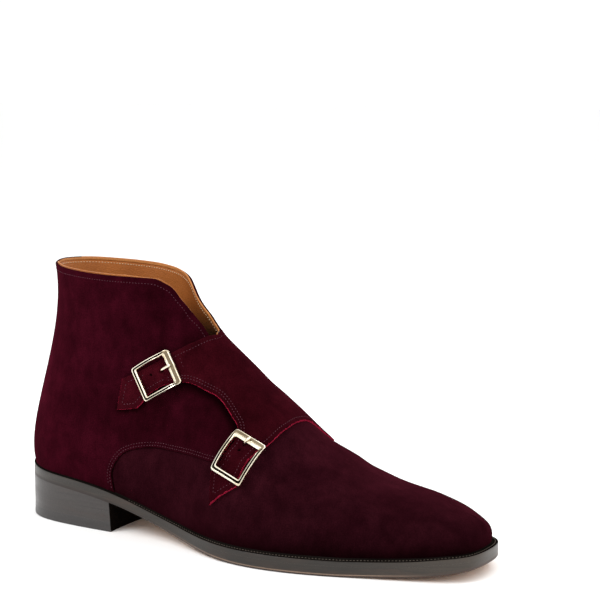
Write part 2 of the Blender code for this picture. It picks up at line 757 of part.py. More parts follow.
def build_flap(spots, into):
    """The inner quarter's flap over the instep, with both straps."""
    scale = CHART_SCALE
    outline = flap_loop()
    holes = []
    for spot in spots:
        a = np.array([SLOT_FAR, SLOT_NEAR, SLOT_NEAR, SLOT_FAR])
        b = np.array([-SLOT_HALF, -SLOT_HALF, SLOT_HALF, SLOT_HALF])
        axes = np.array([spot.along, spot.across])
        target = np.c_[a, b] + spot.centre @ axes.T
        p, q = UPPER.find((np.full(4, spot.p), np.full(4, spot.q)), axes, target)
        holes.append(np.c_[p, q])
    flat = outline * scale
    flat_holes = [hole * scale for hole in holes]
    spacing = 4.6
    low, high = flat.min(axis=0), flat.max(axis=0)
    grid = []
    for row, y in enumerate(np.arange(low[1], high[1], spacing * 0.866)):
        for x in np.arange(low[0] + (row % 2) * spacing / 2, high[0], spacing):
            grid.append((x, y))
    grid = np.array(grid)
    # over each axle the net follows the strap, so that its rise is smooth
    lattice = []
    for spot in spots:
        a, b = np.meshgrid([-4.2, -2.8, -1.4, 1.4, 2.8, 4.2], [-6, -4, -2, 0, 2, 4, 6], indexing="ij")
        axes = np.array([spot.along, spot.across])
        target = np.c_[a.ravel(), b.ravel()] + spot.centre @ axes.T
        start = np.full(a.size, spot.p), np.full(a.size, spot.q)
        local = np.stack(UPPER.find(start, axes, target), 1)
        here = UPPER.at(grid[:, 0] / scale[0], grid[:, 1] / scale[1]) - spot.centre
        grid = grid[(np.abs(here @ spot.along) > 6) | (np.abs(here @ spot.across) > 8)]
        slot = (a.ravel() > SLOT_FAR - 0.3) & (np.abs(b.ravel()) < SLOT_HALF + 0.3)
        lattice.append(local[~slot] * scale)
    # a row of points just inside the edge, and one along the ridge
    run = np.roll(flat, -1, axis=0) - np.roll(flat, 1, axis=0)
    inward = np.stack([-run[:, 1], run[:, 0]], 1) / np.linalg.norm(run, axis=1)[:, None]
    if not inside_polygon(flat[4:5] + inward[4:5], flat)[0]:
        inward = -inward
    rows = flat + inward * 2.4
    ridge = np.c_[np.arange(0.53, 0.675, 0.012), np.zeros(13)] * scale
    fixed = np.concatenate([rows, ridge] + lattice)
    edge = np.concatenate([flat] + flat_holes)

    def apart(points, others, least):
        return np.linalg.norm(points[:, None] - others[None], axis=2).min(axis=1) > least

    keep = inside_polygon(rows, flat) & apart(rows, np.concatenate([edge] + lattice), 1.9)
    rows = rows[keep]
    keep = inside_polygon(ridge, flat) & apart(ridge, np.concatenate([edge, rows]), 1.9)
    ridge = ridge[keep]
    fixed = np.concatenate([edge, rows, ridge] + lattice)
    keep = inside_polygon(grid, flat) & apart(grid, fixed, 2.6)
    for hole in flat_holes:
        keep &= ~inside_polygon(grid, hole)
    spots_2d = np.concatenate([flat] + flat_holes + [rows, ridge, grid[keep]] + lattice)
    edges = [(k, (k + 1) % len(flat)) for k in range(len(flat))]
    start = len(flat)
    for hole in flat_holes:
        edges += [(start + k, start + (k + 1) % 4) for k in range(4)]
        start += 4
    found = delaunay_2d_cdt([Vector(v) for v in spots_2d], edges, [], 0, 1e-5)
    verts = np.array([tuple(v) for v in found[0]])
    faces = [tuple(f) for f in found[2]]
    middles = np.array([verts[list(f)].mean(axis=0) for f in faces])
    keep = inside_polygon(middles, flat)
    for hole in flat_holes:
        keep &= ~inside_polygon(middles, hole)
    faces = [f for f, kept in zip(faces, keep) if kept]
    p, q = (verts / scale).T
    base = UPPER.at(p, q)
    rise = np.zeros(len(p))
    for spot in spots:
        a = (base - spot.centre) @ spot.along
        b = (base - spot.centre) @ spot.across
        near = (np.abs(b) < 14) & (np.abs(a) < 14)
        rise += np.where(near, STRAP_RISE * np.exp(-(a / STRAP_RISE_REACH) ** 4), 0)
    low = UPPER.raised(p, q, FLAP_GAP + rise)
    high = UPPER.raised(p, q, FLAP_GAP + rise + FLAP_THICKNESS)
    n = len(p)
    sides = {}
    for f in faces:
        for k in range(len(f)):
            i, j = f[k], f[(k + 1) % len(f)]
            sides[(i, j)] = sides.get((i, j), 0) + 1
    solid = [tuple(k + n for k in f) for f in faces]
    solid += [tuple(reversed(f)) for f in faces]
    for i, j in sides:
        if (j, i) not in sides:
            solid.append((i, j, j + n, i + n))
    return add_mesh("strap_flap", np.concatenate([low, high]), solid, "suede", into, roughness=0.95)


def main():
    for old in list(bpy.data.objects):
        bpy.data.objects.remove(old)
    boot = collection("buckled_ankle_boot")
    helpers = collection("helpers")
    helpers.hide_render = True

    plate("outsole", [
        outline_ring(TREAD_CHAMFER, "low", 0),
        outline_ring(0, "low", TREAD_CHAMFER),
        outline_ring(0, "high", -WELT_THICKNESS - GAP),
    ], "sole", boot)
    plate("welt", [
        outline_ring(0, "high", -WELT_THICKNESS),
        outline_ring(0, "high", -0.5),
        outline_ring(0.5, "high", 0),
    ], "sole", boot)

    top_of_top_lift = TOP_LIFT_HEIGHT
    top_of_middle = TOP_LIFT_HEIGHT + GAP + MIDDLE_LIFT_HEIGHT
    heel_block("heel_top_lift", [(0, 0, 0.6), (0, 0.6, 0)], [(top_of_top_lift, 0, 0)], boot)
    heel_block("heel_middle_lift", [(TOP_LIFT_HEIGHT + GAP, 0, 0)], [(top_of_middle, 0, 0)], boot)
    heel_block("heel_seat_lift", [(top_of_middle + GAP, 0, 0)], [(None, -GAP, 0)], boot)

    insole = []
    for rise in (GAP, GAP + INSOLE_THICKNESS):
        points = inset_points(even_places(40), WALL + 1.7)
        _, high = sole_heights(points[:, 0])
        insole.append(np.c_[points, high + rise])
    plate("insole", insole, "tan", boot)

    build_upper(boot)
    spots = {name: BucklePlace(*row) for name, row in BUCKLES.items()}
    build_flap(list(spots.values()), boot)
    for name, spot in spots.items():
        build_frame(name + "_buckle_frame", spot, boot, helpers)
        build_prong(name + "_buckle_prong", spot, boot)


main()
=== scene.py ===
"""Looks of the ankle boot with two buckled straps, right foot, around its
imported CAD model.

Lengths in the tables are millimetres, measured as in the model: x from the
back of the heel to the toe, y to the inner side of the foot, z up from the
floor. The last step of every mesh scales it to metres and moves it to the
model's frame. The upper is laid out on one smooth surface, whose places are
pairs (p, q): the panels, folds, stitches and buckles all lie on it.
"""

import math

import bmesh
import bpy
import numpy as np
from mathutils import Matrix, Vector
from mathutils.geometry import delaunay_2d_cdt


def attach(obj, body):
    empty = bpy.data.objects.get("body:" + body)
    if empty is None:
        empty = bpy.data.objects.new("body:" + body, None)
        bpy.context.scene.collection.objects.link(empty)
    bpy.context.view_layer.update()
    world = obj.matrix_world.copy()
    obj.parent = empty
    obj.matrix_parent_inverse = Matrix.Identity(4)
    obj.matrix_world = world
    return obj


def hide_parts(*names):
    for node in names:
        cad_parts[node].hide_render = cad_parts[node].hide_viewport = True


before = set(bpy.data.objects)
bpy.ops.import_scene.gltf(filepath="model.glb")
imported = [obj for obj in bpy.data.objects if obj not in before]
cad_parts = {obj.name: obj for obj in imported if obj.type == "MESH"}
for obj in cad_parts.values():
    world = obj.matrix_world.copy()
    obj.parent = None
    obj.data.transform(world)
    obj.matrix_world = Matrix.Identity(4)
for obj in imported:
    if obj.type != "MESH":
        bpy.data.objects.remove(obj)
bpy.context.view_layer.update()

# ---- driving sizes -------------------------------------------------------
SOLE_LENGTH = 305.0
MIDDLE_X = 152.5
MIDDLE_Y = -2.9
HEEL_BREAST_X = 76.0
BREAST_LEAN = 0.075
WELT_THICKNESS = 3.1
TOP_LIFT_HEIGHT = 6.0
MIDDLE_LIFT_HEIGHT = 5.7
GAP = 0.3
WALL = 2.0

# Outline of the outsole.
# x, half-width on the outer side, half-width on the inner side
OUTLINE = np.array([
    (0, 0, 0), (3.5, 13.5, 13.5), (15, 25.2, 25.2), (32, 30.8, 30.8), (50, 32.8, 32.6),
    (75, 33.8, 32.4), (100, 34.4, 29.6), (120, 37.6, 28.2), (140, 44.3, 29.6), (160, 51.6, 34.6),
    (180, 55.2, 41.5), (200, 54.8, 47.0), (220, 51.2, 49.6), (240, 45.2, 48.0), (260, 38.8, 43.2),
    (280, 32.2, 35.6), (293, 26.6, 27.6), (300.5, 20.5, 19.5), (304.2, 11, 10), (305, 0, 0),
], float)

# Side profile of the sole: x, height of its underside, thickness of its edge
SOLE_PROFILE = np.array([
    (0, 25.2, 8.4), (12, 24.3, 7.2), (40, 22.2, 6.7), (76, 17.2, 6.6), (95, 12.6, 6.3),
    (110, 8.8, 6.3), (125, 5.4, 6.9), (140, 2.7, 7.7), (160, 0.8, 8.6), (180, 0.1, 9.0),
    (195, 0, 9.0), (235, 0, 9.0), (255, 0.9, 9.0), (275, 2.1, 9.3), (290, 3.9, 9.4),
    (305, 6.9, 8.0),
], float)

# How far the upper's foot stands in from the outline: x, outer side, inner side
UPPER_INSET = np.array([
    (0, 1.5, 1.5), (40, 1.6, 1.5), (76, 2.2, 1.8), (120, 2.6, 2.0), (160, 3.6, 2.6),
    (200, 4.5, 3.6), (240, 4.6, 4.0), (280, 4.6, 3.6), (305, 3.2, 3.2),
], float)

# Sections of the upper, heel to toe, one row each. A section is a curve from
# the sole to the collar or, in front of it, to the ridge over the instep.
# foot x | lower handle: out, up, forward | upper handle: forward, out, up |
# top: x, out from the middle, height
OUTER_SECTIONS = np.array([
    (0, 8.5, 30, 0, 12.5, 0, -38, 16.5, 0, 156.5),
    (16, 7.5, 30, 1.5, 9, -0.5, -38, 23.2, 14.5, 156),
    (36, 5, 30, 3, 4, -2, -38, 40, 25, 155.3),
    (60, 3.5, 30, 2, 1, -3, -38, 64.6, 30.5, 154.4),
    (82, 3, 30, 0, 0, -3.2, -38, 88.6, 30, 152.8),
    (100, 2.5, 30, -2, 2.5, -0.5, -38, 104.3, 24.5, 151.6),
    (116, 2, 32, -3, 7, 6.5, -36, 113.7, 15.5, 150.9),
    (130, 2, 34, -4, 9, 16, -32, 116, 4, 150.5),
    (145, 2, 34, -5, 6, 20, -22, 122, 3.5, 131),
    (160, 2, 32, -5, 3, 22, -8, 134, 1, 112.5),
    (180, 2.5, 30, -5, 0, 24, -2, 154, -1, 97),
    (200, 3, 26, -4, -1, 26, 0, 175, -3, 82),
    (220, 3, 22, -3, 0, 27, 0, 197, -4, 65),
    (240, 3, 18, -2, 1, 27, 0, 221, -4, 50),
    (260, 3, 15, -1, 2, 25, 0, 245.5, -4, 41.2),
    (278, 2.5, 13, 0, 4, 20, -0.5, 267, -3, 38.6),
    (292, 2.5, 12, 0, 7, 12, -1, 283, -2, 35),
    (305, 2.5, 12, 0, 8, 0, -3, 294, 0, 32),
], float)
INNER_SECTIONS = np.array([
    (0, 8.5, 30, 0, 12.5, 0, -38, 16.5, 0, 156.5),
    (16, 7.5, 30, 1.5, 9, -0.5, -38, 20.8, 15, 156.5),
    (36, 5, 30, 3, 6, -2, -38, 34, 25, 156.1),
    (60, 3.5, 30, 2, 3.5, -3, -38, 57.4, 29, 155.4),
    (82, 3, 30, 0, 2.5, -3.2, -38, 75.4, 28.5, 153.8),
    (100, 2.5, 30, -2, 5.5, -0.5, -38, 89.7, 24, 152.4),
    (114, 2, 32, -3, 9, 6.5, -36, 102.3, 14, 151.5),
    (126, 2, 34, -4, 9, 16, -32, 116, -4, 150.5),
    (140, 2, 34, -5, 5, 18, -22, 122, -3.5, 131),
    (156, 2, 32, -5, 3, 20, -8, 134, -1, 112.5),
    (176, 2.5, 30, -5, 0, 22, -2, 154, 1, 97),
    (196, 3, 26, -4, -1, 24, 0, 175, 3, 82),
    (218, 3, 22, -3, 0, 25, 0, 197, 4, 65),
    (240, 3, 18, -2, 1, 26, 0, 221, 4, 50),
    (261, 3, 15, -1, 2, 24, 0, 245.5, 4, 41.2),
    (280, 2.5, 13, 0, 4, 20, -0.5, 267, 3, 38.6),
    (293, 2.5, 12, 0, 7, 12, -1, 283, 2, 35),
    (305, 2.5, 12, 0, 8, 0, -3, 294, 0, 32),
], float)
FRONT_ROW = 7  # the section that ends at the front of the collar

# The topline and the V opening: place along, and how far below the rail.
# A scratch script measured most of these points in the photo.
OUTER_TOPLINE = [
    (0.085, 0.0105), (0.1115, 0.013), (0.1375, 0.0145), (0.1615, 0.0155), (0.1875, 0.014),
    (0.2075, 0.011), (0.2325, 0.006), (0.266, 0.0015), (0.28, 0.0005), (0.302, 0.009),
    (0.314, 0.021), (0.326, 0.033), (0.334, 0.044), (0.355, 0.086), (0.376, 0.116),
    (0.402, 0.138), (0.434, 0.129), (0.462, 0.099), (0.483, 0.085), (0.497, 0.085),
    (0.507, 0.084), (0.54, 0.0),
]
INNER_TOPLINE = [
    (0.117, 0.008), (0.153, 0.01), (0.189, 0.0105), (0.217, 0.009), (0.249, 0.009),
    (0.29, 0.013), (0.315, 0.022), (0.343, 0.047), (0.355, 0.078), (0.364, 0.109), (0.379, 0.14),
    (0.398, 0.164), (0.418, 0.176), (0.433, 0.184), (0.45, 0.181), (0.467, 0.163), (0.483, 0.13),
    (0.497, 0.084), (0.507, 0.034), (0.514, 0.0),
]

# Edges of the flap and its two straps, from the instep to the inner corner of
# the front. A scratch script measured many of these points in the photo.
# "side" is x and height on the outer side, "inner" the same on the inner side,
# "plan" x and y seen from above, and "chart" a place (p, q).
STRAP_ENDS = {
    "upper": ((84.5, 92.8), (81.0, 74.0), (93.7, 75.7)),
    "lower": ((153.8, 47.0), (155.1, 29.5), (171.4, 41.2)),
}
FLAP_TOP_EDGE = [
    ("chart", [
        (0.514, -0.008), (0.511, -0.035), (0.504, -0.071), (0.495, -0.104), (0.481, -0.149),
        (0.467, -0.185), (0.444, -0.228), (0.421, -0.256), (0.399, -0.277), (0.378, -0.293),
        (0.358, -0.306),
    ]),
    ("side", [
        (108.0, 105.0), (98.4, 99.4), STRAP_ENDS["upper"][0],
    ]),
]
SCALLOP = [
    ("side", [
        STRAP_ENDS["upper"][2], (97.2, 79.1), (100.4, 83.5), (105.5, 87.3), (111.6, 90.3),
        (122.1, 92.8), (130.2, 92.3), (138.2, 89.3), (146.8, 85.5), (153.7, 80.0), (159.6, 74.7),
        (163.0, 71.2), (164.5, 65.6), (161.8, 58.6), (158.0, 52.4), STRAP_ENDS["lower"][0],
    ]),
]
FLAP_FRONT = [
    ("side", [
        STRAP_ENDS["lower"][2], (173.2, 49.7), (175.3, 54.6), (177.4, 58.8), (180.1, 61.4),
        (181.4, 62.2), (182.6, 63.5), (183.7, 65.5), (184.4, 67.7), (185.1, 69.4),
    ]),
    ("plan", [
        (185.2, -16.0), (186.1, -6.6), (186.9, 4.6), (187.2, 11.5), (189.0, 17.0), (192.5, 21.0),
        (194.0, 25.5), (191.5, 31.0),
    ]),
    ("inner", [
        (183.0, 55.5), (168.0, 50.5),
    ]),
]

# Buckles: centre of the frame's face, the way out of the strap, and the way
# that the strap runs from its free end. A scratch script fitted them to the
# photo, and they were rounded.
BUCKLES = {
    "upper": ((107.8, -33.2, 96.4), (0.077, -0.993, 0.108), (0.859, 0.120, 0.498)),
    "lower": ((170.1, -43.2, 58.6), (0.147, -0.860, 0.488), (0.337, 0.508, 0.793)),
}
FRAME_LENGTH = 27.4
FRAME_WIDTH = 21.6
FRAME_DEPTH = 2.3
FRAME_BOW = 2.0
NEAR_BAR = 4.2
FAR_BAR = 3.5
SIDE_BAR = 2.4
CORNER_RADIUS = 1.7
AXLE_RADIUS = 0.5
STRAP_RISE = 1.3
STRAP_RISE_REACH = 3.6
MOST_PRESS = 1.1
PRONG_RADIUS = 0.8
# along the strap, across it, height over the frame's face
PRONG_PATHS = {
    "upper": [(2.9, 1.6, -5.6), (3.4, 1.55, -4.2), (4.8, 1.5, -2.8), (7.0, 1.4, -1.7), (9.4, 1.3, -1.1),
              (12.2, 1.2, -0.75)],
    "lower": [(7.9, 1.8, -5.4), (8.2, 1.7, -4.0), (8.9, 1.4, -2.5), (10.0, 0.9, -1.3), (11.4, 0.2, -0.7),
              (13.0, -0.5, -0.9)],
}
# Holes in each strap: along it, across it, half-length, half-width
STRAP_HOLES = {
    "upper": [(3.1, 1.5, 1.2, 0.95), (-4.0, 2.6, 0.8, 0.8)],
    "lower": [(8.0, 1.75, 1.2, 0.95), (3.7, 2.1, 0.8, 0.8)],
}

# ---- camera --------------------------------------------------------------
# A scratch script fitted these to the photo, and they were rounded.
CAMERA_PLACE = (661.3, -816.1, 265.8)
CAMERA_TURN = 30.23  # degrees, seen from above, from square on to the outer side
CAMERA_DIP = 7.474
FOCAL_LENGTH = 101.16


def add_camera():
    data = bpy.data.cameras.new("photo_camera")
    data.lens = FOCAL_LENGTH
    data.sensor_width = 36
    data.clip_start = 0.01
    data.clip_end = 60
    made = bpy.data.objects.new("photo_camera", data)
    bpy.context.scene.collection.objects.link(made)
    x, y, z = CAMERA_PLACE
    made.location = ((x - MIDDLE_X) / 1000, (y - MIDDLE_Y) / 1000, z / 1000)
    made.rotation_euler = (math.radians(90 - CAMERA_DIP), 0, math.radians(CAMERA_TURN))
    bpy.context.scene.camera = made


add_camera()


# ---- curves through table rows ------------------------------------------
def cubic(t, rows, at, closed=False):
    """Cubic spline through the rows at t, natural at its ends or closed."""
    t = np.asarray(t, float)
    rows = np.asarray(rows, float)
    at = np.asarray(at, float)
    n = len(t)
    h = np.diff(t)
    slope = np.diff(rows, axis=0) / h[:, None]
    if closed:
        m = n - 1
        lhs = np.zeros((m, m))
        rhs = np.zeros((m, rows.shape[1]))
        for i in range(m):
            lhs[i, (i - 1) % m] += h[i - 1]
            lhs[i, i] += 2 * (h[i - 1] + h[i])
            lhs[i, (i + 1) % m] += h[i]
            rhs[i] = 6 * (slope[i] - slope[i - 1])
        bend = np.linalg.solve(lhs, rhs)
        bend = np.concatenate([bend, bend[:1]])
    else:
        lhs = np.eye(n)
        rhs = np.zeros((n, rows.shape[1]))
        for i in range(1, n - 1):
            lhs[i, i - 1:i + 2] = h[i - 1], 2 * (h[i - 1] + h[i]), h[i]
            rhs[i] = 6 * (slope[i] - slope[i - 1])
        bend = np.linalg.solve(lhs, rhs)
    k = np.clip(np.searchsorted(t, at, side="right") - 1, 0, n - 2)
    a = ((t[k + 1] - at) / h[k])[:, None]
    b = ((at - t[k]) / h[k])[:, None]
    step = h[k][:, None]
    lift = ((a**3 - a) * bend[k] + (b**3 - b) * bend[k + 1]) * step**2 / 6
    return a * rows[k] + b * rows[k + 1] + lift


def sole_heights(x):
    """Height of the sole's underside and of its top at x."""
    found = cubic(SOLE_PROFILE[:, 0], SOLE_PROFILE[:, 1:], np.clip(x, 0, SOLE_LENGTH))
    low = np.maximum(found[:, 0], 0)
    return low, low + found[:, 1]


def outline_rows():
    outer = [(r[0], -r[1]) for r in OUTLINE]
    inner = [(r[0], r[2]) for r in OUTLINE]
    rows = np.array(outer + inner[-2:0:-1] + [outer[0]], float)
    t = np.r_[0, np.cumsum(np.hypot(*np.diff(rows, axis=0).T))]
    return t, rows


OUTLINE_T, OUTLINE_ROWS = outline_rows()


def outline_at(s):
    """Points and outward directions. s: 0 heel, 1 toe, 2 heel again."""
    s = np.asarray(s, float)
    end = OUTLINE_T[-1]
    toe = OUTLINE_T[len(OUTLINE) - 1]
    t = np.where(s <= 1, s * toe, toe + (s - 1) * (end - toe))
    points = cubic(OUTLINE_T, OUTLINE_ROWS, t, closed=True)
    step = 1e-3 * end
    ahead = cubic(OUTLINE_T, OUTLINE_ROWS, (t + step) % end, closed=True)
    behind = cubic(OUTLINE_T, OUTLINE_ROWS, (t - step) % end, closed=True)
    run = ahead - behind
    out = np.stack([run[:, 1], -run[:, 0]], 1)
    return points, out / np.linalg.norm(out, axis=1)[:, None]


def outline_place(side, x):
    """Place along the outline, from the heel, where a side reaches x."""
    g = np.linspace(0, 1, 2001)
    points, _ = outline_at(g if side < 0 else 2 - g)
    return np.interp(x, np.maximum.accumulate(points[:, 0]), g)


def ledge_at(points):
    """How far the sole stands out beyond the upper at points of its outline."""
    rows = cubic(UPPER_INSET[:, 0], UPPER_INSET[:, 1:], np.clip(points[:, 0], 0, SOLE_LENGTH))
    share = np.clip(0.5 + points[:, 1] / 16, 0, 1)
    return rows[:, 0] * (1 - share) + rows[:, 1] * share


def inset_points(s, extra=0.0):
    """The upper's foot line, moved in by extra."""
    points, out = outline_at(s)
    return points - out * (ledge_at(points) + extra)[:, None]


# ---- the upper's surface -------------------------------------------------
OPEN_TO = 0.42  # as far as here along p, the two sides don't meet


class UpperSurface:
    """Outer face of the upper. A place on it is (p, q): p runs from heel to
    toe, and q from -1 at the outer edge of the sole, over 0 at the ridge, to
    1 at the inner edge."""

    def __init__(self):
        count = len(OUTER_SECTIONS)
        self.u = np.linspace(0, 1, count)
        self.loop_u = np.r_[self.u, 2 - self.u[-2::-1]]
        outer = outline_place(-1, OUTER_SECTIONS[:, 0])
        inner = outline_place(1, INNER_SECTIONS[:, 0])
        outer[[0, -1]] = inner[[0, -1]] = 0, 1
        self.foot = np.r_[outer, 2 - inner[-2::-1]]
        rows = np.concatenate([OUTER_SECTIONS, INNER_SECTIONS[-2::-1]])
        side = np.r_[-np.ones(count), np.ones(count - 1)]
        _, out = outline_at(self.foot)
        self.low = np.stack([out[:, 0] * rows[:, 1] + rows[:, 3], out[:, 1] * rows[:, 1], rows[:, 2]], 1)
        self.high = np.stack([rows[:, 4], side * rows[:, 5], rows[:, 6]], 1)
        self.low[-1] = self.low[0]
        self.high[-1] = self.high[0]
        self.outer_top = OUTER_SECTIONS[:, 7:] * (1, -1, 1)
        self.inner_top = INNER_SECTIONS[:, 7:]
        k = FRONT_ROW
        self.collar_u = np.r_[-self.u[k:0:-1], self.u[:k + 1]]
        self.collar = np.r_[self.inner_top[k:0:-1], self.outer_top[:k + 1]]

    def rail(self, u):
        """The collar and, in front of it, the ridge."""
        front = self.u[FRONT_ROW]
        signed = np.where(u <= 1, u, u - 2)
        collar = cubic(self.collar_u, self.collar, np.clip(signed, -front, front))
        ridge = cubic(self.u[FRONT_ROW:], self.outer_top[FRONT_ROW:], np.clip(np.abs(signed), front, 1))
        return np.where((np.abs(signed) <= front)[:, None], collar, ridge)

    def top(self, u, v):
        """The rail, its corner at the front of the collar eased below the edge."""
        signed = np.where(u <= 1, u, u - 2)
        near = np.exp(-((np.abs(signed) - self.u[FRONT_ROW]) / 0.16) ** 4)
        total = 0
        weights = 0
        for k in np.linspace(-1, 1, 9):
            weight = 1 - abs(k) * 0.8
            place = u + k * 0.13 * near * np.minimum(1, (1 - v) * 2.2)
            total = total + weight * self.rail(place % 2)
            weights += weight
        return total / weights

    def loop_at(self, u, v):
        foot = cubic(self.loop_u, self.foot[:, None], u)[:, 0]
        plan = inset_points(foot)
        _, sole_top = sole_heights(plan[:, 0])
        start = np.c_[plan, sole_top + GAP]
        low = start + cubic(self.loop_u, self.low, u, closed=True)
        end = self.top(u, v)
        high = end + cubic(self.loop_u, self.high, u, closed=True)
        v = v[:, None]
        w = 1 - v
        return start * w**3 + 3 * low * w * w * v + 3 * high * w * v * v + end * v**3

    def at(self, p, q):
        p = np.atleast_1d(np.asarray(p, float))
        q = np.atleast_1d(np.asarray(q, float))
        return self.loop_at(np.where(q <= 0, p, 2 - p) % 2, 1 - np.abs(q))

    def normal(self, p, q):
        # at the tip of the ridge the lines of p and of q run the same way
        p = np.minimum(p, 1 - 0.016 * np.maximum(0, 1 - np.abs(q) / 0.08))
        ahead = self.at(np.minimum(p + 0.003, 1), q) - self.at(p - 0.003, q)
        low, high = np.maximum(q - 0.006, -1), np.minimum(q + 0.006, 1)
        # beside the topline a step across would reach the other side
        low = np.where((p < OPEN_TO) & (q > 0) & (low < 0), q, low)
        high = np.where((p < OPEN_TO) & (q <= 0) & (high > 0), q, high)
        across = self.at(p, high) - self.at(p, low)
        found = np.cross(ahead, across)
        return found / np.linalg.norm(found, axis=1)[:, None]

    def find(self, start, axes, target):
        """Newton's method: the places whose point, measured along two axes,
        is target."""
        p = np.array(start[0], float)
        q = np.array(start[1], float)
        for _ in range(12):
            here = self.at(p, q) @ axes.T
            by_p = (self.at(p + 1e-3, q) @ axes.T - here) / 1e-3
            by_q = (self.at(p, q + 1e-3) @ axes.T - here) / 1e-3
            miss = target - here
            det = by_p[:, 0] * by_q[:, 1] - by_p[:, 1] * by_q[:, 0]
            step_p = (miss[:, 0] * by_q[:, 1] - miss[:, 1] * by_q[:, 0]) / det
            step_q = (by_p[:, 0] * miss[:, 1] - by_p[:, 1] * miss[:, 0]) / det
            p = np.clip(p + np.clip(step_p, -0.05, 0.05), 0.01, 0.99)
            q = np.clip(q + np.clip(step_q, -0.1, 0.1), -0.999, 0.999)
        return p, q

    def place(self, kind, points):
        """(p, q) of points given by two of their lengths: "side" and "inner"
        are x and height on either side, "plan" is x and y over the instep."""
        axes = np.array([(1, 0, 0), (0, 1, 0) if kind == "plan" else (0, 0, 1)], float)
        low, high = {"side": (-0.95, -0.02), "inner": (0.02, 0.95), "plan": (-0.5, 0.5)}[kind]
        ps, qs = np.meshgrid(np.linspace(0.03, 0.95, 60), np.linspace(low, high, 30), indexing="ij")
        ps, qs = ps.ravel(), qs.ravel()
        flat = self.at(ps, qs) @ axes.T
        points = np.asarray(points, float)
        near = np.linalg.norm(flat[None] - points[:, None], axis=2).argmin(axis=1)
        return np.stack(self.find((ps[near], qs[near]), axes, points), 1)


UPPER = UpperSurface()
CHART_SCALE = np.array([330.0, 105.0])  # about one millimetre in p and in q


def opening_edges():
    """The topline and the V opening on each side, as q over p."""
    edges = {}
    for side, knots in ((-1, OUTER_TOPLINE), (1, INNER_TOPLINE)):
        line = np.array(knots, float)
        t = np.r_[0, np.cumsum(np.hypot(*(np.diff(line, axis=0) * CHART_SCALE).T))]
        fine = cubic(t, line, np.linspace(0, t[-1], 500))
        rising = np.r_[True, np.diff(np.maximum.accumulate(fine[:, 0])) > 1e-6]
        edges[side] = np.concatenate([[(0, 0)], fine[rising]])
    return edges


OPENING = opening_edges()


def kept_share(u, beyond=0.0):
    """Share of each section that stays below the topline and the V opening."""
    u = np.asarray(u, float) % 2
    p = np.where(u <= 1, u, 2 - u)
    outer = np.interp(p, *OPENING[-1].T)
    inner = np.interp(p, *OPENING[1].T)
    return np.minimum(1, 1 - np.where(u <= 1, outer, inner) + beyond)


class BucklePlace:
    """Local lengths of a buckle: a along the strap towards the instep, b
    across it, and h outwards from the face of the frame, which is bowed."""

    def __init__(self, centre, up, along):
        self.centre = np.array(centre)
        self.up = np.array(up) / np.linalg.norm(up)
        along = np.array(along) - self.up * self.up.dot(along)
        self.along = along / np.linalg.norm(along)
        self.across = np.cross(self.up, self.along)
        self.p, self.q = UPPER.place("side", [(centre[0], centre[2])])[0]

    def lengths(self, points):
        away = points - self.centre
        return away @ self.along, away @ self.across, away @ self.up

    def on_chart(self, a, b):
        """The (p, q) places at local lengths a and b."""
        axes = np.array([self.along, self.across])
        target = np.c_[a, b] + self.centre @ axes.T
        start = np.full(len(target), self.p), np.full(len(target), self.q)
        return np.stack(UPPER.find(start, axes, target), 1)

    def lay(self, a, b, h):
        rise = h - bow(a)
        return self.centre + np.outer(a, self.along) + np.outer(b, self.across) + np.outer(rise, self.up)


def bow(a):
    """How far the frame's ends stand back from its middle."""
    return FRAME_BOW * (np.asarray(a) / (FRAME_LENGTH / 2)) ** 2


def inside_polygon(points, polygon):
    hits = np.zeros(len(points), bool)
    for (x0, y0), (x1, y1) in zip(polygon, np.roll(polygon, -1, axis=0)):
        if y0 == y1:
            continue
        crosses = (points[:, 1] < y0) != (points[:, 1] < y1)
        at = x0 + (points[:, 1] - y0) * (x1 - x0) / (y1 - y0)
        hits ^= crosses & (points[:, 0] < at)
    return hits


def ring_faces(rings, count):
    """Quads between successive closed rings of count points."""
    faces = []
    for r in range(rings - 1):
        for i in range(count):
            j = (i + 1) % count
            faces.append((r * count + i, r * count + j, (r + 1) * count + j, (r + 1) * count + i))
    return faces


def strip_cap(first, count):
    """Cap of a loop that is paired across: point i meets point count - i."""
    half = count // 2
    faces = [(first, first + 1, first + count - 1)]
    for k in range(1, half - 1):
        faces.append((first + k, first + k + 1, first + count - k - 1, first + count - k))
    faces.append((first + half - 1, first + half, first + half + 1))
    return faces


def even_places(half):
    """Places round the outline, closer together at the heel and the toe."""
    t = np.linspace(0, 1, half + 1)
    s = t - 0.55 * np.sin(2 * np.pi * t) / (2 * np.pi)
    return np.r_[s, 2 - s[-2:0:-1]]


# ---- relief: folds and soft unevenness of the upper ----------------------
def smooth_step(x, low, high):
    t = np.clip((np.asarray(x, float) - low) / (high - low), 0, 1)
    return t * t * (3 - 2 * t)


def places(groups):
    """(p, q) of lines of points: groups of how they are measured and their
    two lengths."""
    found = []
    for kind, spots in groups:
        spots = np.array(spots, float)
        found.append(spots if kind == "chart" else UPPER.place(kind, spots))
    return np.concatenate(found)


def fold_paths():
    """Each fold as points on the surface, with the place along it."""
    paths = []
    for kind, knots, width, depth in FOLDS:
        spots = places([(kind, knots)])
        t = np.linspace(0, 1, len(spots))
        at = np.linspace(0, 1, 60)
        line = cubic(t, spots, at)
        paths.append((UPPER.at(line[:, 0], line[:, 1]), at, width, depth))
    return paths


